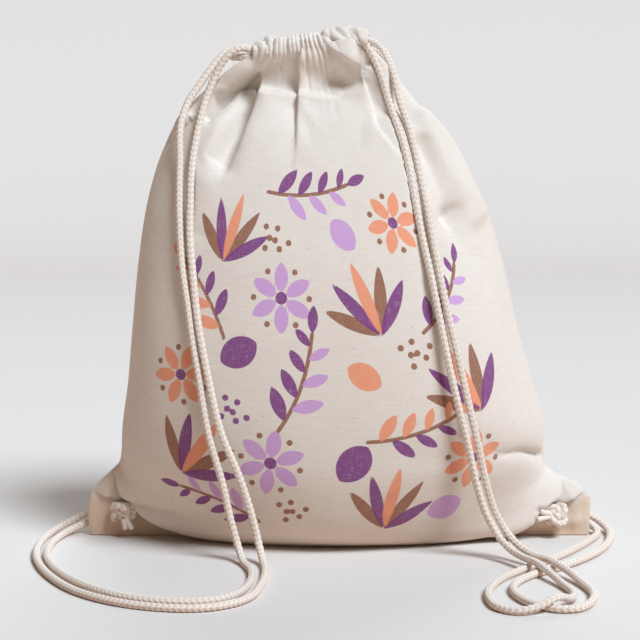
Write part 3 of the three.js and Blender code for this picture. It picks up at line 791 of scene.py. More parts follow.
# %% Cloth simulation
SIM_FRAMES = 18
CLOTH_SETTINGS = {
    "quality": 5,
    "mass": 0.1,
    "bending_stiffness": 0.2,
    "vertex_group_mass": "pins",
    "use_pressure": True,
    "uniform_pressure_force": 3.0,
}


def pin_cloth(sack, held):
    """Pins each point as firmly as its share says."""
    pins = sack.vertex_groups.new(name="pins")
    for k in np.nonzero(held > 0)[0]:
        pins.add([int(k)], float(held[k]), "REPLACE")


def run_cloth(sack, flat_key):
    """Runs the simulation and returns the points it ends with, in metres."""
    cloth = sack.modifiers.new("cloth", "CLOTH")
    for name, value in CLOTH_SETTINGS.items():
        setattr(cloth.settings, name, value)
    cloth.settings.rest_shape_key = flat_key
    cloth.settings.effector_weights.gravity = 0
    cloth.collision_settings.use_collision = False
    for number in range(1, SIM_FRAMES + 1):
        bpy.context.scene.frame_set(number)
    settled = sack.evaluated_get(bpy.context.evaluated_depsgraph_get())
    found = np.zeros(len(sack.data.vertices) * 3)
    settled.data.vertices.foreach_get("co", found)
    return found.reshape(-1, 3)


print("a simulation of", SIM_FRAMES, "frames")

# %% Both panels sewn together
SIM_STEP = 2
MOVE_CAP = 12.0
HELD_TOP = 0.975
HELD_TOP_SPAN = 0.02
HELD_FOOT = 0.17
HELD_FOOT_SPAN = 0.05


def settle(front, back):
    """Settles both panels sewn together and returns how far their points moved."""
    rows, columns = front.shape[:2]
    free = np.zeros((rows, columns), bool)
    free[1:, 1:-1] = True
    front_index = np.arange(rows * columns).reshape(rows, columns)
    back_index = front_index.copy()
    back_index[free] = rows * columns + np.arange(free.sum())
    points = np.vstack([front.reshape(-1, 3), back[free]])
    rest = np.vstack([rest_cloth(front, -1).reshape(-1, 3), rest_cloth(back, 1)[free]])
    faces = []
    for index, flip in ((front_index, False), (back_index, True)):
        numbers = index.ravel().tolist()
        faces += [[numbers[k] for k in quad] for quad in grid_faces(rows, columns, flip)]
    mesh = bpy.data.meshes.new("settling")
    mesh.from_pydata((points * MM).tolist(), [], faces)
    sack = bpy.data.objects.new("settling", mesh)
    bpy.context.scene.collection.objects.link(sack)
    sack.shape_key_add(name="filled")
    flat_key = sack.shape_key_add(name="flat")
    flat_key.data.foreach_set("co", (rest * MM).astype(np.float32).ravel())
    flat_key.value = 0
    along = row_places[::SIM_STEP, None] * np.ones((1, columns))
    held_foot = ramp(HELD_FOOT - along, HELD_FOOT_SPAN)
    held = np.maximum(ramp(along - HELD_TOP, HELD_TOP_SPAN), held_foot)
    pin_cloth(sack, np.concatenate([held.ravel(), held[free]]))
    move = run_cloth(sack, flat_key) / MM - points
    size = np.linalg.norm(move, axis=1, keepdims=True)
    move *= MOVE_CAP * np.tanh(size / MOVE_CAP) / np.maximum(size, TINY)
    bpy.data.objects.remove(sack)
    bpy.data.meshes.remove(mesh)
    bpy.context.scene.frame_set(1)
    return {-1: move[front_index], 1: move[back_index]}


print("simulated threads:", len(row_places[::SIM_STEP]), "x", len(mouth_x[::SIM_STEP]))

# %% Settle both panels


def between_threads(move):
    """Fills in the threads that the simulation skipped, first across and then along."""
    for axis in (1, 0):
        known = np.arange(move.shape[axis])
        spots = np.arange(known[-1] * SIM_STEP + 1) / SIM_STEP
        move = np.apply_along_axis(lambda line: np.interp(spots, known, line), axis, move)
    return move


def soften(field):
    """A small blur along both thread directions, with the edges kept."""
    out = field.copy()
    out[1:-1] = (field[:-2] + 2 * field[1:-1] + field[2:]) / 4
    mid = out.copy()
    out[:, 1:-1] = (mid[:, :-2] + 2 * mid[:, 1:-1] + mid[:, 2:]) / 4
    return out


moves = settle(grids[-1][::SIM_STEP, ::SIM_STEP], grids[1][::SIM_STEP, ::SIM_STEP])
for side, move in moves.items():
    grids[side] = grids[side] + soften(between_threads(move))
    size = np.linalg.norm(move, axis=2)
    print("side", side, "moved", round(size.mean(), 2), "mm on average")

# %% [markdown]
# ## Cloth pressed under the cords
# Two strands on each side lie on the front and bear on the cloth. Cloth that stands higher than a
# strand is moved inwards along its own normal until the strand lies on it, and what is still too
# near is pushed off it, so each cord lies in a shallow groove and neither cuts through the other.
# The knots and their tails press the corners in the same way. Last, nothing may go below the
# floor, and the back layer of each ear stays behind the front one.

# %% Press helpers
PRESS_SEARCH = 14.0
EAR_ZONE_X = 125.0
EAR_ZONE_Z = 40.0


def point_tree(points):
    tree = KDTree(len(points))
    for i, p in enumerate(points):
        tree.insert(p, i)
    tree.balance()
    return tree


def press_under(grid, normals, tree, gap, ears=False):
    """Moves cloth inwards along its normal until a cord lies on it, and leaves the ears as they
    are unless told otherwise."""
    pressed = 0
    for point, normal in zip(grid.reshape(-1, 3), normals.reshape(-1, 3)):
        if not ears and abs(point[0]) > EAR_ZONE_X and point[2] < EAR_ZONE_Z:
            continue
        near, _, distance = tree.find(point)
        if distance > PRESS_SEARCH:
            continue
        offset = point - np.array(near)
        height = offset @ normal
        beside = np.linalg.norm(offset - height * normal)
        if beside < gap:
            allowed = -np.sqrt(gap * gap - beside * beside)
            if height > allowed:
                point -= (height - allowed) * normal
                pressed += 1
    return pressed


def push_off(grid, tree, gap):
    """Moves cloth straight away from points that are too near."""
    for point in grid.reshape(-1, 3):
        near, _, distance = tree.find(point)
        if distance < gap:
            point += (gap - distance) / distance * (point - np.array(near))


print("press helpers ready")

# %% Press the cloth
CLOTH_CLEARANCE = 0.45
FLOOR_CLEARANCE = 0.3
KNOT_BALL = 10.0
EAR_LAYERS = 1.7
IN_TUNNEL_Z = 340
IN_TUNNEL_SLACK = 4

strands = np.vstack([line[::2] for line in cord_lines.values()])
past_left = strands[:, 0] > TUNNEL_LEFT - IN_TUNNEL_SLACK
before_right = strands[:, 0] < TUNNEL_RIGHT + IN_TUNNEL_SLACK
in_tunnel = (strands[:, 2] > IN_TUNNEL_Z) & past_left & before_right
strand_tree = point_tree(strands[~in_tunnel])
ball_tree = point_tree([np.vstack(lines).mean(0) for lines in knot_strands.values()])
tail_tree = point_tree(np.vstack(sum(knot_tails.values(), [])))
cord_gap = CORD_DIAMETER / 2 + CLOTH_CLEARANCE
knot_gap = KNOT_ROPE / 2 + CLOTH_CLEARANCE
for side, grid in grids.items():
    count = press_under(grid, grid_normals(grid, side), strand_tree, cord_gap)
    push_off(grid, strand_tree, cord_gap)
    if side < 0:
        before = grid.copy()
        normals = grid_normals(grid, side)
        count += press_under(grid, normals, ball_tree, KNOT_BALL, True)
        count += press_under(grid, normals, tail_tree, knot_gap, True)
        grid[:] = before + soften(grid - before)
    grid[..., 2] = np.maximum(grid[..., 2], FLOOR_CLEARANCE)
    print("side", side, "points pressed in:", count)

in_ear = (np.abs(grids[1][..., 0]) > EAR_ZONE_X) & (grids[1][..., 2] < EAR_ZONE_Z)
behind_front = grids[-1][..., 1] + EAR_LAYERS * seam_fade
grids[1][..., 1] = np.where(in_ear, np.maximum(grids[1][..., 1], behind_front), grids[1][..., 1])

# %% [markdown]
# ## From points to a piece
# Helpers turn a grid of points into a mesh with quads, smooth shading and a UV map in metres of
# flat cloth, so one unit of the pattern is the same length everywhere on the bag. A number on
# each vertex marks the flat corners, where warm shade is painted into the colour of the cotton.

# %% Mesh helpers


def add_mesh(name, points, faces):
    mesh = bpy.data.meshes.new(name)
    mesh.from_pydata((np.asarray(points).reshape(-1, 3) * MM).tolist(), [], faces)
    mesh.shade_smooth()
    piece = bpy.data.objects.new(name, mesh)
    bpy.context.scene.collection.objects.link(piece)
    return piece


def add_uv(piece, u, v, name):
    """A UV map from one pair of coordinates per vertex."""
    mesh = piece.data
    layer = mesh.uv_layers.new(name=name)
    corners = np.zeros(len(mesh.loops), np.int32)
    mesh.loops.foreach_get("vertex_index", corners)
    pairs = np.stack([np.ravel(u), np.ravel(v)], 1)[corners]
    layer.data.foreach_set("uv", pairs.astype(np.float32).ravel())


def add_values(piece, name, values):
    """One number per vertex, which a material can read."""
    attribute = piece.data.attributes.new(name, "FLOAT", "POINT")
    attribute.data.foreach_set("value", np.ravel(values).astype(np.float32))


def select_only(pieces):
    """Selects these pieces and makes the first one active, for an operator."""
    bpy.ops.object.select_all(action="DESELECT")
    for piece in pieces:
        piece.select_set(True)
    bpy.context.view_layer.objects.active = pieces[0]


print("mesh helpers ready")

# %% Panels
panels = {}
for side, name in ((-1, "front_panel_cloth"), (1, "back_panel_cloth")):
    piece = add_mesh(name, grids[side], grid_faces(ROWS, COLUMNS, side > 0))
    add_uv(piece, across_map * FLAT_WIDTH / 2 * MM, along_map * FLAT_LENGTH * MM, "cloth")
    panels[side] = piece
    print(name, len(piece.data.polygons), "faces")

# %% Painted shade in the flat corners
FLAT_DEPTH = 5
FLAT_SPAN = 10
FOLD_SPAN = 6
CORNER_TOP = 66
CORNER_TOP_SPAN = 10
CORNER_FROM = 105
CORNER_SPAN = 25
LEFT_UPPER_TINT = 0.6

# Painted shade: the flat corners below the ear folds, and the left ear above its fold, get a warm
# darker tint where shade falls.
for side, piece in panels.items():
    x, y, z = np.moveaxis(grids[side], 2, 0)
    flatness = 1 - ramp(np.abs(y) - FLAT_DEPTH, FLAT_SPAN)
    below_right = -line_distance(RIGHT_EAR_FOLD, x, z)[0]
    below_left = line_distance(LEFT_EAR_FOLD, x, z)[0]
    under_fold = ramp(np.where(x > 0, below_right, below_left), FOLD_SPAN)
    under_fold = np.where(x > 0, under_fold, np.maximum(under_fold, LEFT_UPPER_TINT))
    low = ramp(CORNER_TOP - z, CORNER_TOP_SPAN)
    corner = flatness * low * ramp(np.abs(x) - CORNER_FROM, CORNER_SPAN)
    add_values(piece, "corner", corner * under_fold)
    print(piece.name, "corner tint up to", round((corner * under_fold).max(), 2))

# %% [markdown]
# ## The print
# The front carries a scattered print in four inks. It is drawn as simple shapes on the flat
# cloth: leaves, strokes and dots that make up sprigs, blossoms, fans and pebbles. For each ink
# the distance to its nearest shape is stored on the vertices, and the material turns distance
# into a crisp edge. The print bends with every fold because it lives in the cloth's coordinates.

# %% Shapes in ink
INKS = ("brown", "lilac", "plum", "peach")
FAR = 6.0

ink_shapes = {ink: [] for ink in INKS}


def draw(ink, measure, *values):
    """Notes a shape by the function that measures the distance to it, in millimetres."""
    ink_shapes[ink].append((measure, values))


def leaf(x, y, x0, y0, turn, length, width):
    dx, dy = x - x0, y - y0
    forward = dx * np.cos(turn) + dy * np.sin(turn) - length / 2
    sideways = -dx * np.sin(turn) + dy * np.cos(turn)
    bow = (length * length / 4 - width * width / 4) / width
    radius = bow + width / 2
    return np.hypot(forward, np.abs(sideways) + bow) - radius


def stroke(x, y, x0, y0, x1, y1, width):
    dx, dy = x1 - x0, y1 - y0
    t = np.clip(((x - x0) * dx + (y - y0) * dy) / (dx * dx + dy * dy), 0, 1)
    return np.hypot(x - x0 - t * dx, y - y0 - t * dy) - width / 2


def dot(x, y, x0, y0, radius):
    return np.hypot(x - x0, y - y0) - radius


print("inks", INKS)

# %% Sprigs
STEM_WIDTH = 2.8
STEM_BEND = 0.5
SPRIG_LEAVES = 7
LEAF_LEAN = 0.85
LEAF_LENGTH = 0.36
LEAF_SHORTER = 0.02
LEAF_WIDTH = 0.38
TIP_LENGTH = 0.26
TIP_WIDTH = 0.1


def ahead(x, y, turn, distance):
    """The point at a distance in a direction."""
    return np.array([x + distance * np.cos(turn), y + distance * np.sin(turn)])


def sprig(x, y, turn, size, inks):
    """A bowed stem with leaves on alternate sides and one at its tip."""
    stem, first, second = inks
    steps = SPRIG_LEAVES + 1
    place = ahead(x, y, turn, -size / 2)
    for i in range(steps):
        heading = turn + STEM_BEND * (i / steps - 0.5)
        step_end = ahead(*place, heading, size / steps)
        draw(stem, stroke, *place, *step_end, STEM_WIDTH)
        if i > 0:
            lean = LEAF_LEAN if i % 2 else -LEAF_LEAN
            length = size * (LEAF_LENGTH - LEAF_SHORTER * i)
            ink = first if i % 2 else second
            draw(ink, leaf, *place, heading + lean, length, length * LEAF_WIDTH)
        place = step_end
    draw(first, leaf, *place, turn + STEM_BEND / 2, size * TIP_LENGTH, size * TIP_WIDTH)


print("a sprig has", SPRIG_LEAVES + 1, "leaves")

# %% Blossoms, fans, pebbles and dots
PETALS = 6
PETAL_TURN = 2 * np.pi / PETALS
PETAL_FROM = 0.08
PETAL_LENGTH = 0.42
PETAL_WIDTH = 0.21
RIM_REACH = 0.42
RIM_DOT = 2.3
HEART_DOT = 0.09
FAN_LEAVES = 5
FAN_SPREAD = 0.42
FAN_LENGTH = 0.98
FAN_SHORTER = 0.09
FAN_FOOT = 0.45
FAN_WIDTH = 0.17
PEBBLE_WIDTH = 0.72
SCATTER_DOTS = 7
SCATTER_TURN = 2.4
SCATTER_REACH = 0.19
SCATTER_DOT = 2.4


def blossom(x, y, turn, size, inks):
    """Petals round a dot, with a dot between each two."""
    petal, heart, rim = inks
    for k in range(PETALS):
        angle = turn + k * PETAL_TURN
        root = ahead(x, y, angle, PETAL_FROM * size)
        draw(petal, leaf, *root, angle, size * PETAL_LENGTH, size * PETAL_WIDTH)
        draw(rim, dot, *ahead(x, y, angle + PETAL_TURN / 2, RIM_REACH * size), RIM_DOT)
    draw(heart, dot, x, y, size * HEART_DOT)


def fan(x, y, turn, size, inks):
    """Long leaves spread from one foot."""
    foot = ahead(x, y, turn, -FAN_FOOT * size)
    for k in range(FAN_LEAVES):
        aside = k - FAN_LEAVES // 2
        length = size * (FAN_LENGTH - FAN_SHORTER * abs(aside))
        draw(inks[k % len(inks)], leaf, *foot, turn + FAN_SPREAD * aside, length, size * FAN_WIDTH)


def pebble(x, y, turn, size, inks):
    """A smooth stone."""
    draw(inks[0], leaf, *ahead(x, y, turn, -size / 2), turn, size, size * PEBBLE_WIDTH)


def scatter(x, y, turn, size, inks):
    """A small cluster of dots."""
    for k in range(SCATTER_DOTS):
        reach = SCATTER_REACH * size * np.sqrt(k)
        draw(inks[0], dot, *ahead(x, y, turn + SCATTER_TURN * k, reach), SCATTER_DOT)


print("a blossom has", PETALS, "petals, a fan", FAN_LEAVES, "leaves")

# %% Lay out the print
MOTIF_COLUMNS = ("shape", "x", "y", "turn", "size", "inks")
BROWN_PLUM = ("brown", "plum", "lilac")
BROWN_PEACH = ("brown", "peach", "plum")
PLUM_BROWN = ("plum", "brown", "peach")
LILAC_PLUM = ("lilac", "plum", "brown")
PEACH_PLUM = ("peach", "plum", "brown")
PLUM_LILAC = ("plum", "lilac", "brown")
MOTIFS = [
    (sprig, -4, 316, 0.1, 74, BROWN_PLUM),
    (fan, -70, 285, 1.3, 52, PLUM_BROWN),
    (blossom, 66, 290, 0.2, 46, PEACH_PLUM),
    (scatter, -34, 278, 0.4, 26, BROWN_PLUM),
    (pebble, 22, 282, 2.2, 26, LILAC_PLUM),
    (sprig, -92, 236, 2.2, 66, BROWN_PEACH),
    (blossom, -30, 238, 0.5, 50, LILAC_PLUM),
    (fan, 34, 236, 1.9, 56, PLUM_BROWN),
    (sprig, 92, 238, 0.9, 62, BROWN_PLUM),
    (pebble, -62, 200, 0.5, 30, PLUM_LILAC),
    (scatter, 66, 200, 1.0, 26, BROWN_PLUM),
    (blossom, -106, 182, 0.1, 46, PEACH_PLUM),
    (sprig, -24, 180, 1.2, 76, BROWN_PLUM),
    (pebble, 26, 184, 2.6, 26, PEACH_PLUM),
    (fan, 98, 180, 2.0, 56, PLUM_BROWN),
    (scatter, -68, 158, 0.2, 24, PLUM_LILAC),
    (sprig, 56, 148, 0.3, 68, BROWN_PEACH),
    (fan, -96, 128, 0.9, 56, PLUM_BROWN),
    (blossom, -44, 122, 0.3, 50, LILAC_PLUM),
    (pebble, 14, 122, 0.9, 32, PLUM_LILAC),
    (blossom, 100, 122, 0.4, 46, PEACH_PLUM),
    (sprig, -86, 84, 2.8, 66, BROWN_PLUM),
    (scatter, -30, 84, 0.8, 24, BROWN_PLUM),
    (fan, 42, 92, 1.4, 54, PLUM_BROWN),
    (pebble, 84, 84, 0.4, 28, LILAC_PLUM),
]

for motif in named_rows(MOTIF_COLUMNS, MOTIFS):
    motif["shape"](motif["x"], motif["y"], motif["turn"], motif["size"], motif["inks"])

flat_x = across_map * FLAT_WIDTH / 2
flat_y = along_map * FLAT_LENGTH
for ink, shapes in ink_shapes.items():
    nearest = np.full(flat_x.shape, FAR)
    for measure, values in shapes:
        nearest = np.minimum(nearest, measure(flat_x, flat_y, *values))
    add_values(panels[-1], "ink_" + ink, nearest)
    print(ink, len(shapes), "shapes")

# %% [markdown]
# ## Hem tunnels
# The mouth is hemmed into a tunnel in front and one behind, and drawing the cords bunches each
# tunnel up. A tube that follows the CAD tunnel with the same pleats as the cloth below it reads
# as one piece of cloth. A few slanting creases and a little unevenness keep the bunches from
# being alike. The tube has an inner wall, because its open ends can be looked into.

# %% Creases of the tunnels
CREASE_COLUMNS = ("points", "width", "depth")
TUNNEL_CREASES = [
    (((-60, 9), (-57, 2), (-59, -6)), 2.0, 2.0),
    (((-53, 11), (-50, 2), (-53, -9)), 2.4, 2.2),
    (((-13, 8), (-8, 4), (-2, -2), (3, -9)), 2.6, 3.6),
    (((-3, 12), (2, 5), (9, -1)), 2.4, 3.0),
    (((9, 9), (13, 2), (17, -4)), 2.2, 2.2),
]


def tunnel_dents(x, height):
    """How deep the slanting creases of a tunnel are, x and the height up its wall in mm."""
    total = np.zeros(x.shape)
    for crease in named_rows(CREASE_COLUMNS, TUNNEL_CREASES):
        offset = line_distance(crease["points"], x, height)[0]
        total += crease["depth"] * np.exp(-CREASE_SHARPNESS * np.abs(offset) / crease["width"])
    return total


print(len(TUNNEL_CREASES), "creases")

# %% One ring of a tunnel
TUNNEL_SIDES = 48
TUNNEL_BORE = 5.4
TUNNEL_WALL = 0.5
TUNNEL_PLEAT = 3.0
TUNNEL_ENDS = (TUNNEL_LEFT + 1, TUNNEL_RIGHT + 3)
PLEAT_SWAY = 0.03
PLEAT_FAN = 0.16
HOOD_FROM = 0.75
HOOD_REACH = 12.0
HOOD_DROP = 3.0
HOOD_LOW = 0.75
HOOD_SPAN = 0.5
HOOD_POWER = 1.5
WOBBLE = 2.2
WOBBLE_LENGTH = 8
WOBBLE_ROUND = 1.5
WOBBLE_APART = 4
WOBBLE_LOW = 0.3


def tunnel_wobble(side, middle, angle):
    """Unevenness of the upper part of a ring, from smooth noise along the tunnel and round it."""
    places = [(np.cos(a) * WOBBLE_ROUND, np.sin(a) * WOBBLE_ROUND) for a in angle]
    far = side * WOBBLE_APART
    values = [noise.noise(Vector((middle / WOBBLE_LENGTH, y + far, z))) for y, z in places]
    return WOBBLE * np.array(values) * np.clip(np.sin(angle) + WOBBLE_LOW, 0, 1)


def tunnel_ring(side, share, bore):
    """One ring of a tunnel. The upper part of its right-hand end reaches further, as a hood."""
    angle = 2 * np.pi * np.arange(TUNNEL_SIDES) / TUNNEL_SIDES
    middle = TUNNEL_ENDS[0] + (TUNNEL_ENDS[1] - TUNNEL_ENDS[0]) * share
    last = ramp(share - HOOD_FROM, 1 - HOOD_FROM)
    hood = ramp(np.sin(angle) + HOOD_LOW, HOOD_SPAN) * last**HOOD_POWER
    x = middle + HOOD_REACH * hood
    if bore:
        reach = np.full(TUNNEL_SIDES, TUNNEL_BORE)
    else:
        fanned = TUNNEL_MIDDLE + (x - TUNNEL_MIDDLE) * (1 + PLEAT_FAN * (1 + np.sin(angle)) / 2)
        across = np.interp(fanned, mouth_x, np.linspace(-1, 1, COLUMNS))
        across += PLEAT_SWAY * np.sin(angle)
        reach = np.interp(x, TUNNEL_PUFF_X, TUNNEL_PUFF)
        reach += TUNNEL_PLEAT * pleat_depth(-side * across, 0 * angle)
        reach += tunnel_wobble(side, middle, angle)
        reach -= tunnel_dents(x, reach * np.arcsin(np.sin(angle)))
        reach = np.maximum(reach, TUNNEL_BORE + TUNNEL_WALL)
    y = side * TUNNEL_Y + reach * np.cos(angle)
    z = tunnel_height(middle) + reach * np.sin(angle) - HOOD_DROP * hood
    return np.stack([x, y, z], 1)


print("a ring has", len(tunnel_ring(-1, 0, True)), "points")

# %% Tunnels
TUNNEL_RINGS = 201
TUNNEL_GIRTH = 0.054

tunnels = {}
tunnel_shares = np.linspace(0, 1, TUNNEL_RINGS)
for side, name in ((-1, "front_tunnel_cloth"), (1, "back_tunnel_cloth")):
    outer = [tunnel_ring(side, share, False) for share in tunnel_shares]
    bore = [tunnel_ring(side, share, True) for share in tunnel_shares[::-1]]
    rings = np.array(outer + bore)
    last = len(rings) * TUNNEL_SIDES
    faces = grid_faces(len(rings) + 1, TUNNEL_SIDES, True, closed=True)
    faces = [tuple(k - last if k >= last else k for k in face) for face in faces]
    piece = add_mesh(name, rings, faces)
    around = np.tile(np.arange(TUNNEL_SIDES) / TUNNEL_SIDES * TUNNEL_GIRTH, (len(rings), 1))
    lengthwise = np.concatenate([tunnel_shares, tunnel_shares[::-1]]) - 0.5
    add_uv(piece, np.repeat(lengthwise, TUNNEL_SIDES) * FLAT_WIDTH * MM, around, "cloth")
    tunnels[side] = piece
    print(name, len(piece.data.polygons), "faces")

# %% [markdown]
# ## Braided cords
# The cords are a round braid of soft cotton yarn: bundles that run round the cord both ways and
# pass over and under each other, which shows as small slanting lobes. A ring swept along the
# route, with its radius raised where a bundle lies on top, gives real relief that also shows at
# the cord's edge. The frame of the sweep is carried along without twist.

# %% Relief of the braid
BRAID_COLUMNS = 6
BRAID_PERIOD = 3.9
GRAIN_LEAN = 0.55
GRAIN_POWER = 0.7
GROOVE_DEPTH = 0.55
GROOVE_POWER = 3


def braid_lobes(angle, along):
    """Height of the braid: columns of slanting grains that lean the other way in each next one."""
    column = angle / (2 * np.pi) * BRAID_COLUMNS
    number = np.floor(column + TINY)
    place = column - number - 0.5
    lean = np.where(number % 2 < 1, 1.0, -1.0)
    phase = along / BRAID_PERIOD + lean * GRAIN_LEAN * place
    grain = np.abs(np.cos(np.pi * phase)) ** GRAIN_POWER
    return grain * (1 - GROOVE_DEPTH * (2 * np.abs(place)) ** GROOVE_POWER)


print("grains side by side:", BRAID_COLUMNS, "each", BRAID_PERIOD, "mm long")

# %% Sweep helper
CORD_SIDES = 30
BRAID_RELIEF = 0.55
LOBE_MIDDLE = 0.6
END_LENGTH = 0.8
FIRST_ASIDE = (0.31, 0.52, 0.79)


def carried_frames(line):
    """Two side directions that turn as little as possible along the line."""
    tangent = np.gradient(line, axis=0)
    tangent /= np.linalg.norm(tangent, axis=1, keepdims=True)
    first = np.cross(tangent[0], FIRST_ASIDE)
    first /= np.linalg.norm(first)
    sides = [first]
    for t in tangent[1:]:
        side = sides[-1] - t * np.dot(sides[-1], t)
        sides.append(side / np.linalg.norm(side))
    sides = np.array(sides)
    return sides, np.cross(tangent, sides)


def sweep_braid(name, line, diameter, relief=BRAID_RELIEF, ends=0.0):
    """A braided rope along a line, closed at both ends."""
    side, up = carried_frames(line)
    angle = 2 * np.pi * np.arange(CORD_SIDES) / CORD_SIDES
    along = lengths_along(line)
    lobes = braid_lobes(angle[None, :], along[:, None])
    radius = diameter / 2 + relief * (lobes - LOBE_MIDDLE)
    tip = ramp(np.minimum(along, along[-1] - along), END_LENGTH)[:, None]
    radius *= 1 - ends * (1 - np.sqrt(tip))
    sideways = np.cos(angle)[None, :, None] * side[:, None, :]
    ring = sideways + np.sin(angle)[None, :, None] * up[:, None, :]
    points = (line[:, None, :] + radius[..., None] * ring).reshape(-1, 3)
    rings = len(line)
    faces = grid_faces(rings, CORD_SIDES, False, closed=True)
    faces.append(tuple(range(CORD_SIDES))[::-1])
    faces.append(tuple(range((rings - 1) * CORD_SIDES, rings * CORD_SIDES)))
    piece = add_mesh(name, points, faces)
    around = np.tile(angle / (2 * np.pi), (rings, 1))
    add_uv(piece, around, np.repeat(along * MM, CORD_SIDES), "cord")
    # The braid's height, which the cord material turns into painted shade in the gaps.
    add_values(piece, "lobe", 1 - (1 - lobes) * relief / BRAID_RELIEF)
    return piece


cords = {}
for name, line in cord_lines.items():
    cords[name] = sweep_braid(name + "_braid", line, CORD_DIAMETER)
    print(name, len(cords[name].data.polygons), "faces")

# %% [markdown]
# ## Knots
# The same sweep along the knot paths makes the knots. The cut tails are smoother, because their
# braid has opened, so less shade is painted into their gaps and they look paler.

# %% Knots
TAIL_WIDTH = 4.0
TAIL_RELIEF = 0.12
TAIL_ROUNDING = 0.2

knots = {}
for name, lines in knot_strands.items():
    parts = [sweep_braid(f"{name}_strand_{k}", line, KNOT_ROPE) for k, line in enumerate(lines)]
    for k, line in enumerate(knot_tails[name]):
        parts.append(sweep_braid(f"{name}_tail_{k}", line, TAIL_WIDTH, TAIL_RELIEF, TAIL_ROUNDING))
    select_only(parts)
    bpy.ops.object.join()
    parts[0].name = name + "_rope"
    knots[name] = parts[0]
    print(parts[0].name, len(parts[0].data.polygons), "faces")

# %% [markdown]
# ## Cotton cloth
# Unbleached plain-weave cotton is warm white, matt and a little uneven: some yarns are thicker
# than others, and dark specks of seed stay in it. Stretched noises along the flat cloth's
# coordinates give warp, weft and thick yarns. They feed the colour, the roughness and the bump,
# and the print is mixed over the colour.

# %% Node helpers


def add_node(tree, kind, **settings):
    made = tree.nodes.new(kind)
    for key, value in settings.items():
        setattr(made, key, value)
    return made


def put(tree, value, socket):
    """Joins an output to an input, or sets the input to a plain value."""
    if isinstance(value, bpy.types.NodeSocket):
        tree.links.new(value, socket)
    else:
        socket.default_value = value


def calculate(tree, operation, a, b):
    made = add_node(tree, "ShaderNodeMath", operation=operation)
    put(tree, a, made.inputs[0])
    put(tree, b, made.inputs[1])
    return made.outputs[0]


RANGE_SOCKETS = ("From Min", "From Max", "To Min", "To Max")


def remap(tree, value, numbers):
    """Carries a value over from one range to another."""
    made = add_node(tree, "ShaderNodeMapRange")
    put(tree, value, made.inputs["Value"])
    for name, number in zip(RANGE_SOCKETS, numbers):
        put(tree, number, made.inputs[name])
    return made.outputs["Result"]


def mix(tree, share, a, b, blend="MIX"):
    made = add_node(tree, "ShaderNodeMix", data_type="RGBA", blend_type=blend)
    put(tree, share, made.inputs["Factor"])
    put(tree, a, made.inputs["A"])
    put(tree, b, made.inputs["B"])
    return made.outputs["Result"]


def attribute(tree, name):
    return add_node(tree, "ShaderNodeAttribute", attribute_name=name).outputs["Fac"]


print("node helpers ready")

# %% Noises and the finished surface


def stretched_noises(tree, uv_map, table):
    """One noise per row of the table, scaled along the piece's own UV map."""
    flat = add_node(tree, "ShaderNodeUVMap", uv_map=uv_map).outputs["UV"]
    made = {}
    for name, (scale, detail) in table.items():
        mapping = add_node(tree, "ShaderNodeMapping")
        mapping.inputs["Scale"].default_value = scale
        put(tree, flat, mapping.inputs["Vector"])
        texture = add_node(tree, "ShaderNodeTexNoise")
        texture.inputs["Scale"].default_value = 1.0
        texture.inputs["Detail"].default_value = detail
        put(tree, mapping.outputs["Vector"], texture.inputs["Vector"])
        made[name] = texture.outputs["Fac"]
    return made


def new_material(name):
    material = bpy.data.materials.new(name)
    material.use_nodes = True
    return material, material.node_tree


def finish_surface(tree, colour, roughness, height, surface, relief):
    """Joins colour, roughness and bump to the shader, and sets what is the same all over."""
    shader = tree.nodes["Principled BSDF"]
    put(tree, colour, shader.inputs["Base Color"])
    put(tree, roughness, shader.inputs["Roughness"])
    for name, value in surface.items():
        shader.inputs[name].default_value = value
    bump = add_node(tree, "ShaderNodeBump")
    for name, value in relief.items():
        bump.inputs[name].default_value = value
    put(tree, height, bump.inputs["Height"])
    put(tree, bump.outputs["Normal"], shader.inputs["Normal"])


print("surface helpers ready")

# %% Cotton values
COTTON = (0.80, 0.77, 0.73, 1)
COTTON_DARK = (0.66, 0.60, 0.54, 1)
# Warm darker colour of the shade painted into the flat corners under the folds.
PAINTED_SHADE_TINT = (0.97, 0.81, 0.67, 1)
SEED = (0.34, 0.24, 0.15, 1)
INK_COLOURS = {
    "brown": (0.30, 0.13, 0.075, 1),
    "lilac": (0.60, 0.36, 0.72, 1),
    "plum": (0.21, 0.045, 0.24, 1),
    "peach": (0.84, 0.33, 0.19, 1),
}
COTTON_NOISES = {
    "warp": ((1500, 130, 1), 2.0),
    "weft": ((130, 1500, 1), 2.0),
    "slub": ((60, 700, 1), 3.0),
    "blotch": ((16, 16, 1), 4.0),
    "speck": ((420, 420, 1), 1.0),
}
WEAVE_SHARE = 0.6
SLUB_SHARE = 0.4
COTTON_RANGES = {
    "thin yarn": (0.38, 0.6, 0.42, 0.0),
    "blotch": (0.45, 0.75, 0.0, 0.16),
    "raw": (0.35, 0.65, 0.65, 1.0),
    "ink edge": (0.22, -0.22, 0.0, 0.96),
    "worn ink": (0.34, 0.46, 0.72, 1.0),
    "speck": (0.735, 0.78, 0.0, 0.55),
    "roughness": (0.3, 0.7, 0.94, 0.8),
}
COTTON_SURFACE = {"Sheen Weight": 0.25, "Sheen Roughness": 0.6, "Specular IOR Level": 0.25}
COTTON_RELIEF = {"Strength": 0.35, "Distance": 0.0004}
print(len(COTTON_NOISES), "noises,", len(INK_COLOURS), "inks")

# %% Cotton material


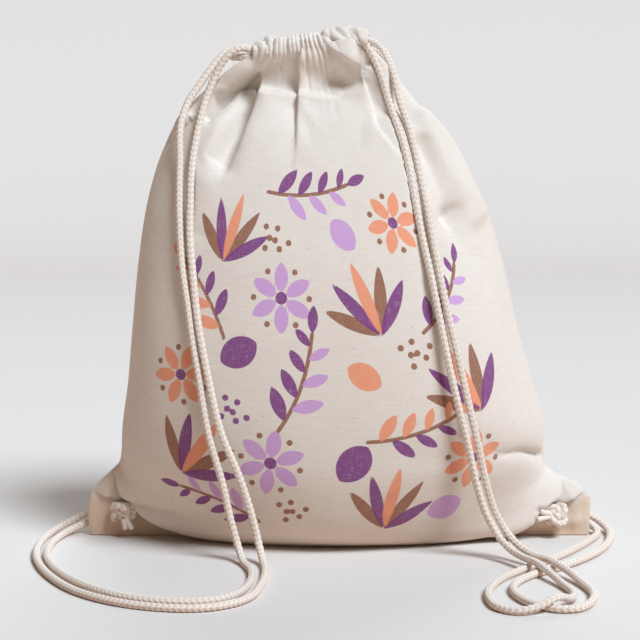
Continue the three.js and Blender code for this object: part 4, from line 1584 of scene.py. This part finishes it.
def cotton_material(name, inks=()):
    material, tree = new_material(name)
    noises = stretched_noises(tree, "cloth", COTTON_NOISES)
    ranges = COTTON_RANGES
    both = calculate(tree, "ADD", noises["warp"], noises["weft"])
    weave = calculate(tree, "MULTIPLY", both, 1 / 2)
    even = calculate(tree, "MULTIPLY", weave, WEAVE_SHARE)
    thick = calculate(tree, "MULTIPLY", noises["slub"], SLUB_SHARE)
    tone = calculate(tree, "ADD", even, thick)
    colour = mix(tree, remap(tree, tone, ranges["thin yarn"]), COTTON, COTTON_DARK)
    colour = mix(tree, remap(tree, noises["blotch"], ranges["blotch"]), colour, COTTON_DARK)
    # Painted shade: the flat corners are tinted warm and darker, a little unevenly.
    uneven = remap(tree, noises["blotch"], ranges["raw"])
    raw = calculate(tree, "MULTIPLY", attribute(tree, "corner"), uneven)
    colour = mix(tree, raw, colour, mix(tree, 1.0, colour, PAINTED_SHADE_TINT, "MULTIPLY"))
    for ink in inks:
        inside = remap(tree, attribute(tree, "ink_" + ink), ranges["ink edge"])
        worn = calculate(tree, "MULTIPLY", inside, remap(tree, weave, ranges["worn ink"]))
        colour = mix(tree, worn, colour, INK_COLOURS[ink])
    colour = mix(tree, remap(tree, noises["speck"], ranges["speck"]), colour, SEED)
    roughness = remap(tree, weave, ranges["roughness"])
    finish_surface(tree, colour, roughness, tone, COTTON_SURFACE, COTTON_RELIEF)
    return material


cotton_printed = cotton_material("cotton_printed", INKS)
cotton_plain = cotton_material("cotton_plain")
print(cotton_printed.name, len(cotton_printed.node_tree.nodes), "nodes")

# %% [markdown]
# ## Cotton cord
# The cord is the same cotton, spun softer and left paler, with warm shade painted deep between
# the bundles. The height of the braid, stored on the vertices, paints that shade into the gaps,
# and a fine noise along the cord's own UV stands for the single yarns of a bundle.

# %% Cord material
CORD_PALE = (0.88, 0.82, 0.76, 1)
# The shade painted between the bundles, and also the colour of the fuzz.
CORD_GAP_SHADE_AND_FUZZ = (0.60, 0.50, 0.43, 1)
CORD_NOISES = {"yarn": ((40, 2600, 1), 2.0), "fuzz": ((18, 900, 1), 4.0)}
YARN_SHARE = 0.25
CORD_RANGES = {
    "gap": (0.35, 0.85, 0.75, 0.0),
    "fuzz": (0.5, 0.7, 0.0, 0.2),
    "roughness": (0.3, 0.7, 0.95, 0.82),
}
CORD_SURFACE = {"Sheen Weight": 0.3, "Sheen Roughness": 0.5, "Specular IOR Level": 0.25}
CORD_RELIEF = {"Strength": 0.5, "Distance": 0.0003}


def cord_material(name):
    material, tree = new_material(name)
    noises = stretched_noises(tree, "cord", CORD_NOISES)
    yarn = calculate(tree, "MULTIPLY", noises["yarn"], YARN_SHARE)
    depth = calculate(tree, "ADD", attribute(tree, "lobe"), yarn)
    # Painted shade: the low parts of the braid are darkened towards the gap colour.
    colour = mix(tree, remap(tree, depth, CORD_RANGES["gap"]), CORD_PALE, CORD_GAP_SHADE_AND_FUZZ)
    colour = mix(tree, remap(tree, noises["fuzz"], CORD_RANGES["fuzz"]), colour, CORD_GAP_SHADE_AND_FUZZ)
    roughness = remap(tree, noises["yarn"], CORD_RANGES["roughness"])
    finish_surface(tree, colour, roughness, noises["yarn"], CORD_SURFACE, CORD_RELIEF)
    return material


cotton_cord = cord_material("cotton_cord")
print(cotton_cord.name, len(cotton_cord.node_tree.nodes), "nodes")

# %% [markdown]
# Solidify gives the panels their real thickness, inwards, with a second material inside because
# the print is on the outside only. Then each piece takes its finish and rides on the bag's one
# body, the CAD solids it stands for are hidden, and the length of each cord is printed.

# %% Cloth pieces
CLOTH_THICKNESS = 0.8
PANEL_COLUMNS = ("side", "panel_node", "tunnel_node", "finish")
PANEL_ROWS = [
    (-1, "front_panel", "front_casing", cotton_printed),
    (1, "back_panel", "back_casing", cotton_plain),
]


def declare(piece, nodes):
    """Puts a piece on the bag's one body and hides the CAD nodes it stands for."""
    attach(piece, "root")
    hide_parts(*nodes)


for spec in named_rows(PANEL_COLUMNS, PANEL_ROWS):
    panel = panels[spec["side"]]
    tunnel = tunnels[spec["side"]]
    panel.data.materials.append(spec["finish"])
    panel.data.materials.append(cotton_plain)
    wall = panel.modifiers.new("wall", "SOLIDIFY")
    wall.thickness = CLOTH_THICKNESS * MM
    wall.offset = -1
    wall.material_offset = 1
    select_only([panel])
    bpy.ops.object.modifier_apply(modifier=wall.name)
    tunnel.data.materials.append(cotton_plain)
    declare(panel, [spec["panel_node"]])
    declare(tunnel, [spec["tunnel_node"]])
    print(panel.name, len(panel.data.polygons), "faces")

# %% Cords and knots
STRAND_NODES = ("front_strand", "back_strand", "in_casing")

for name, cord in cords.items():
    knot_name = name.replace("cord", "knot")
    knot = knots[knot_name]
    for part in (cord, knot):
        part.data.materials.append(cotton_cord)
    declare(cord, [f"{name}_{node}" for node in STRAND_NODES])
    declare(knot, [knot_name])
    line = cord_lines[name]
    print(name, round(line_length(line)), "mm")

# %% Update the scene
bpy.context.view_layer.update()
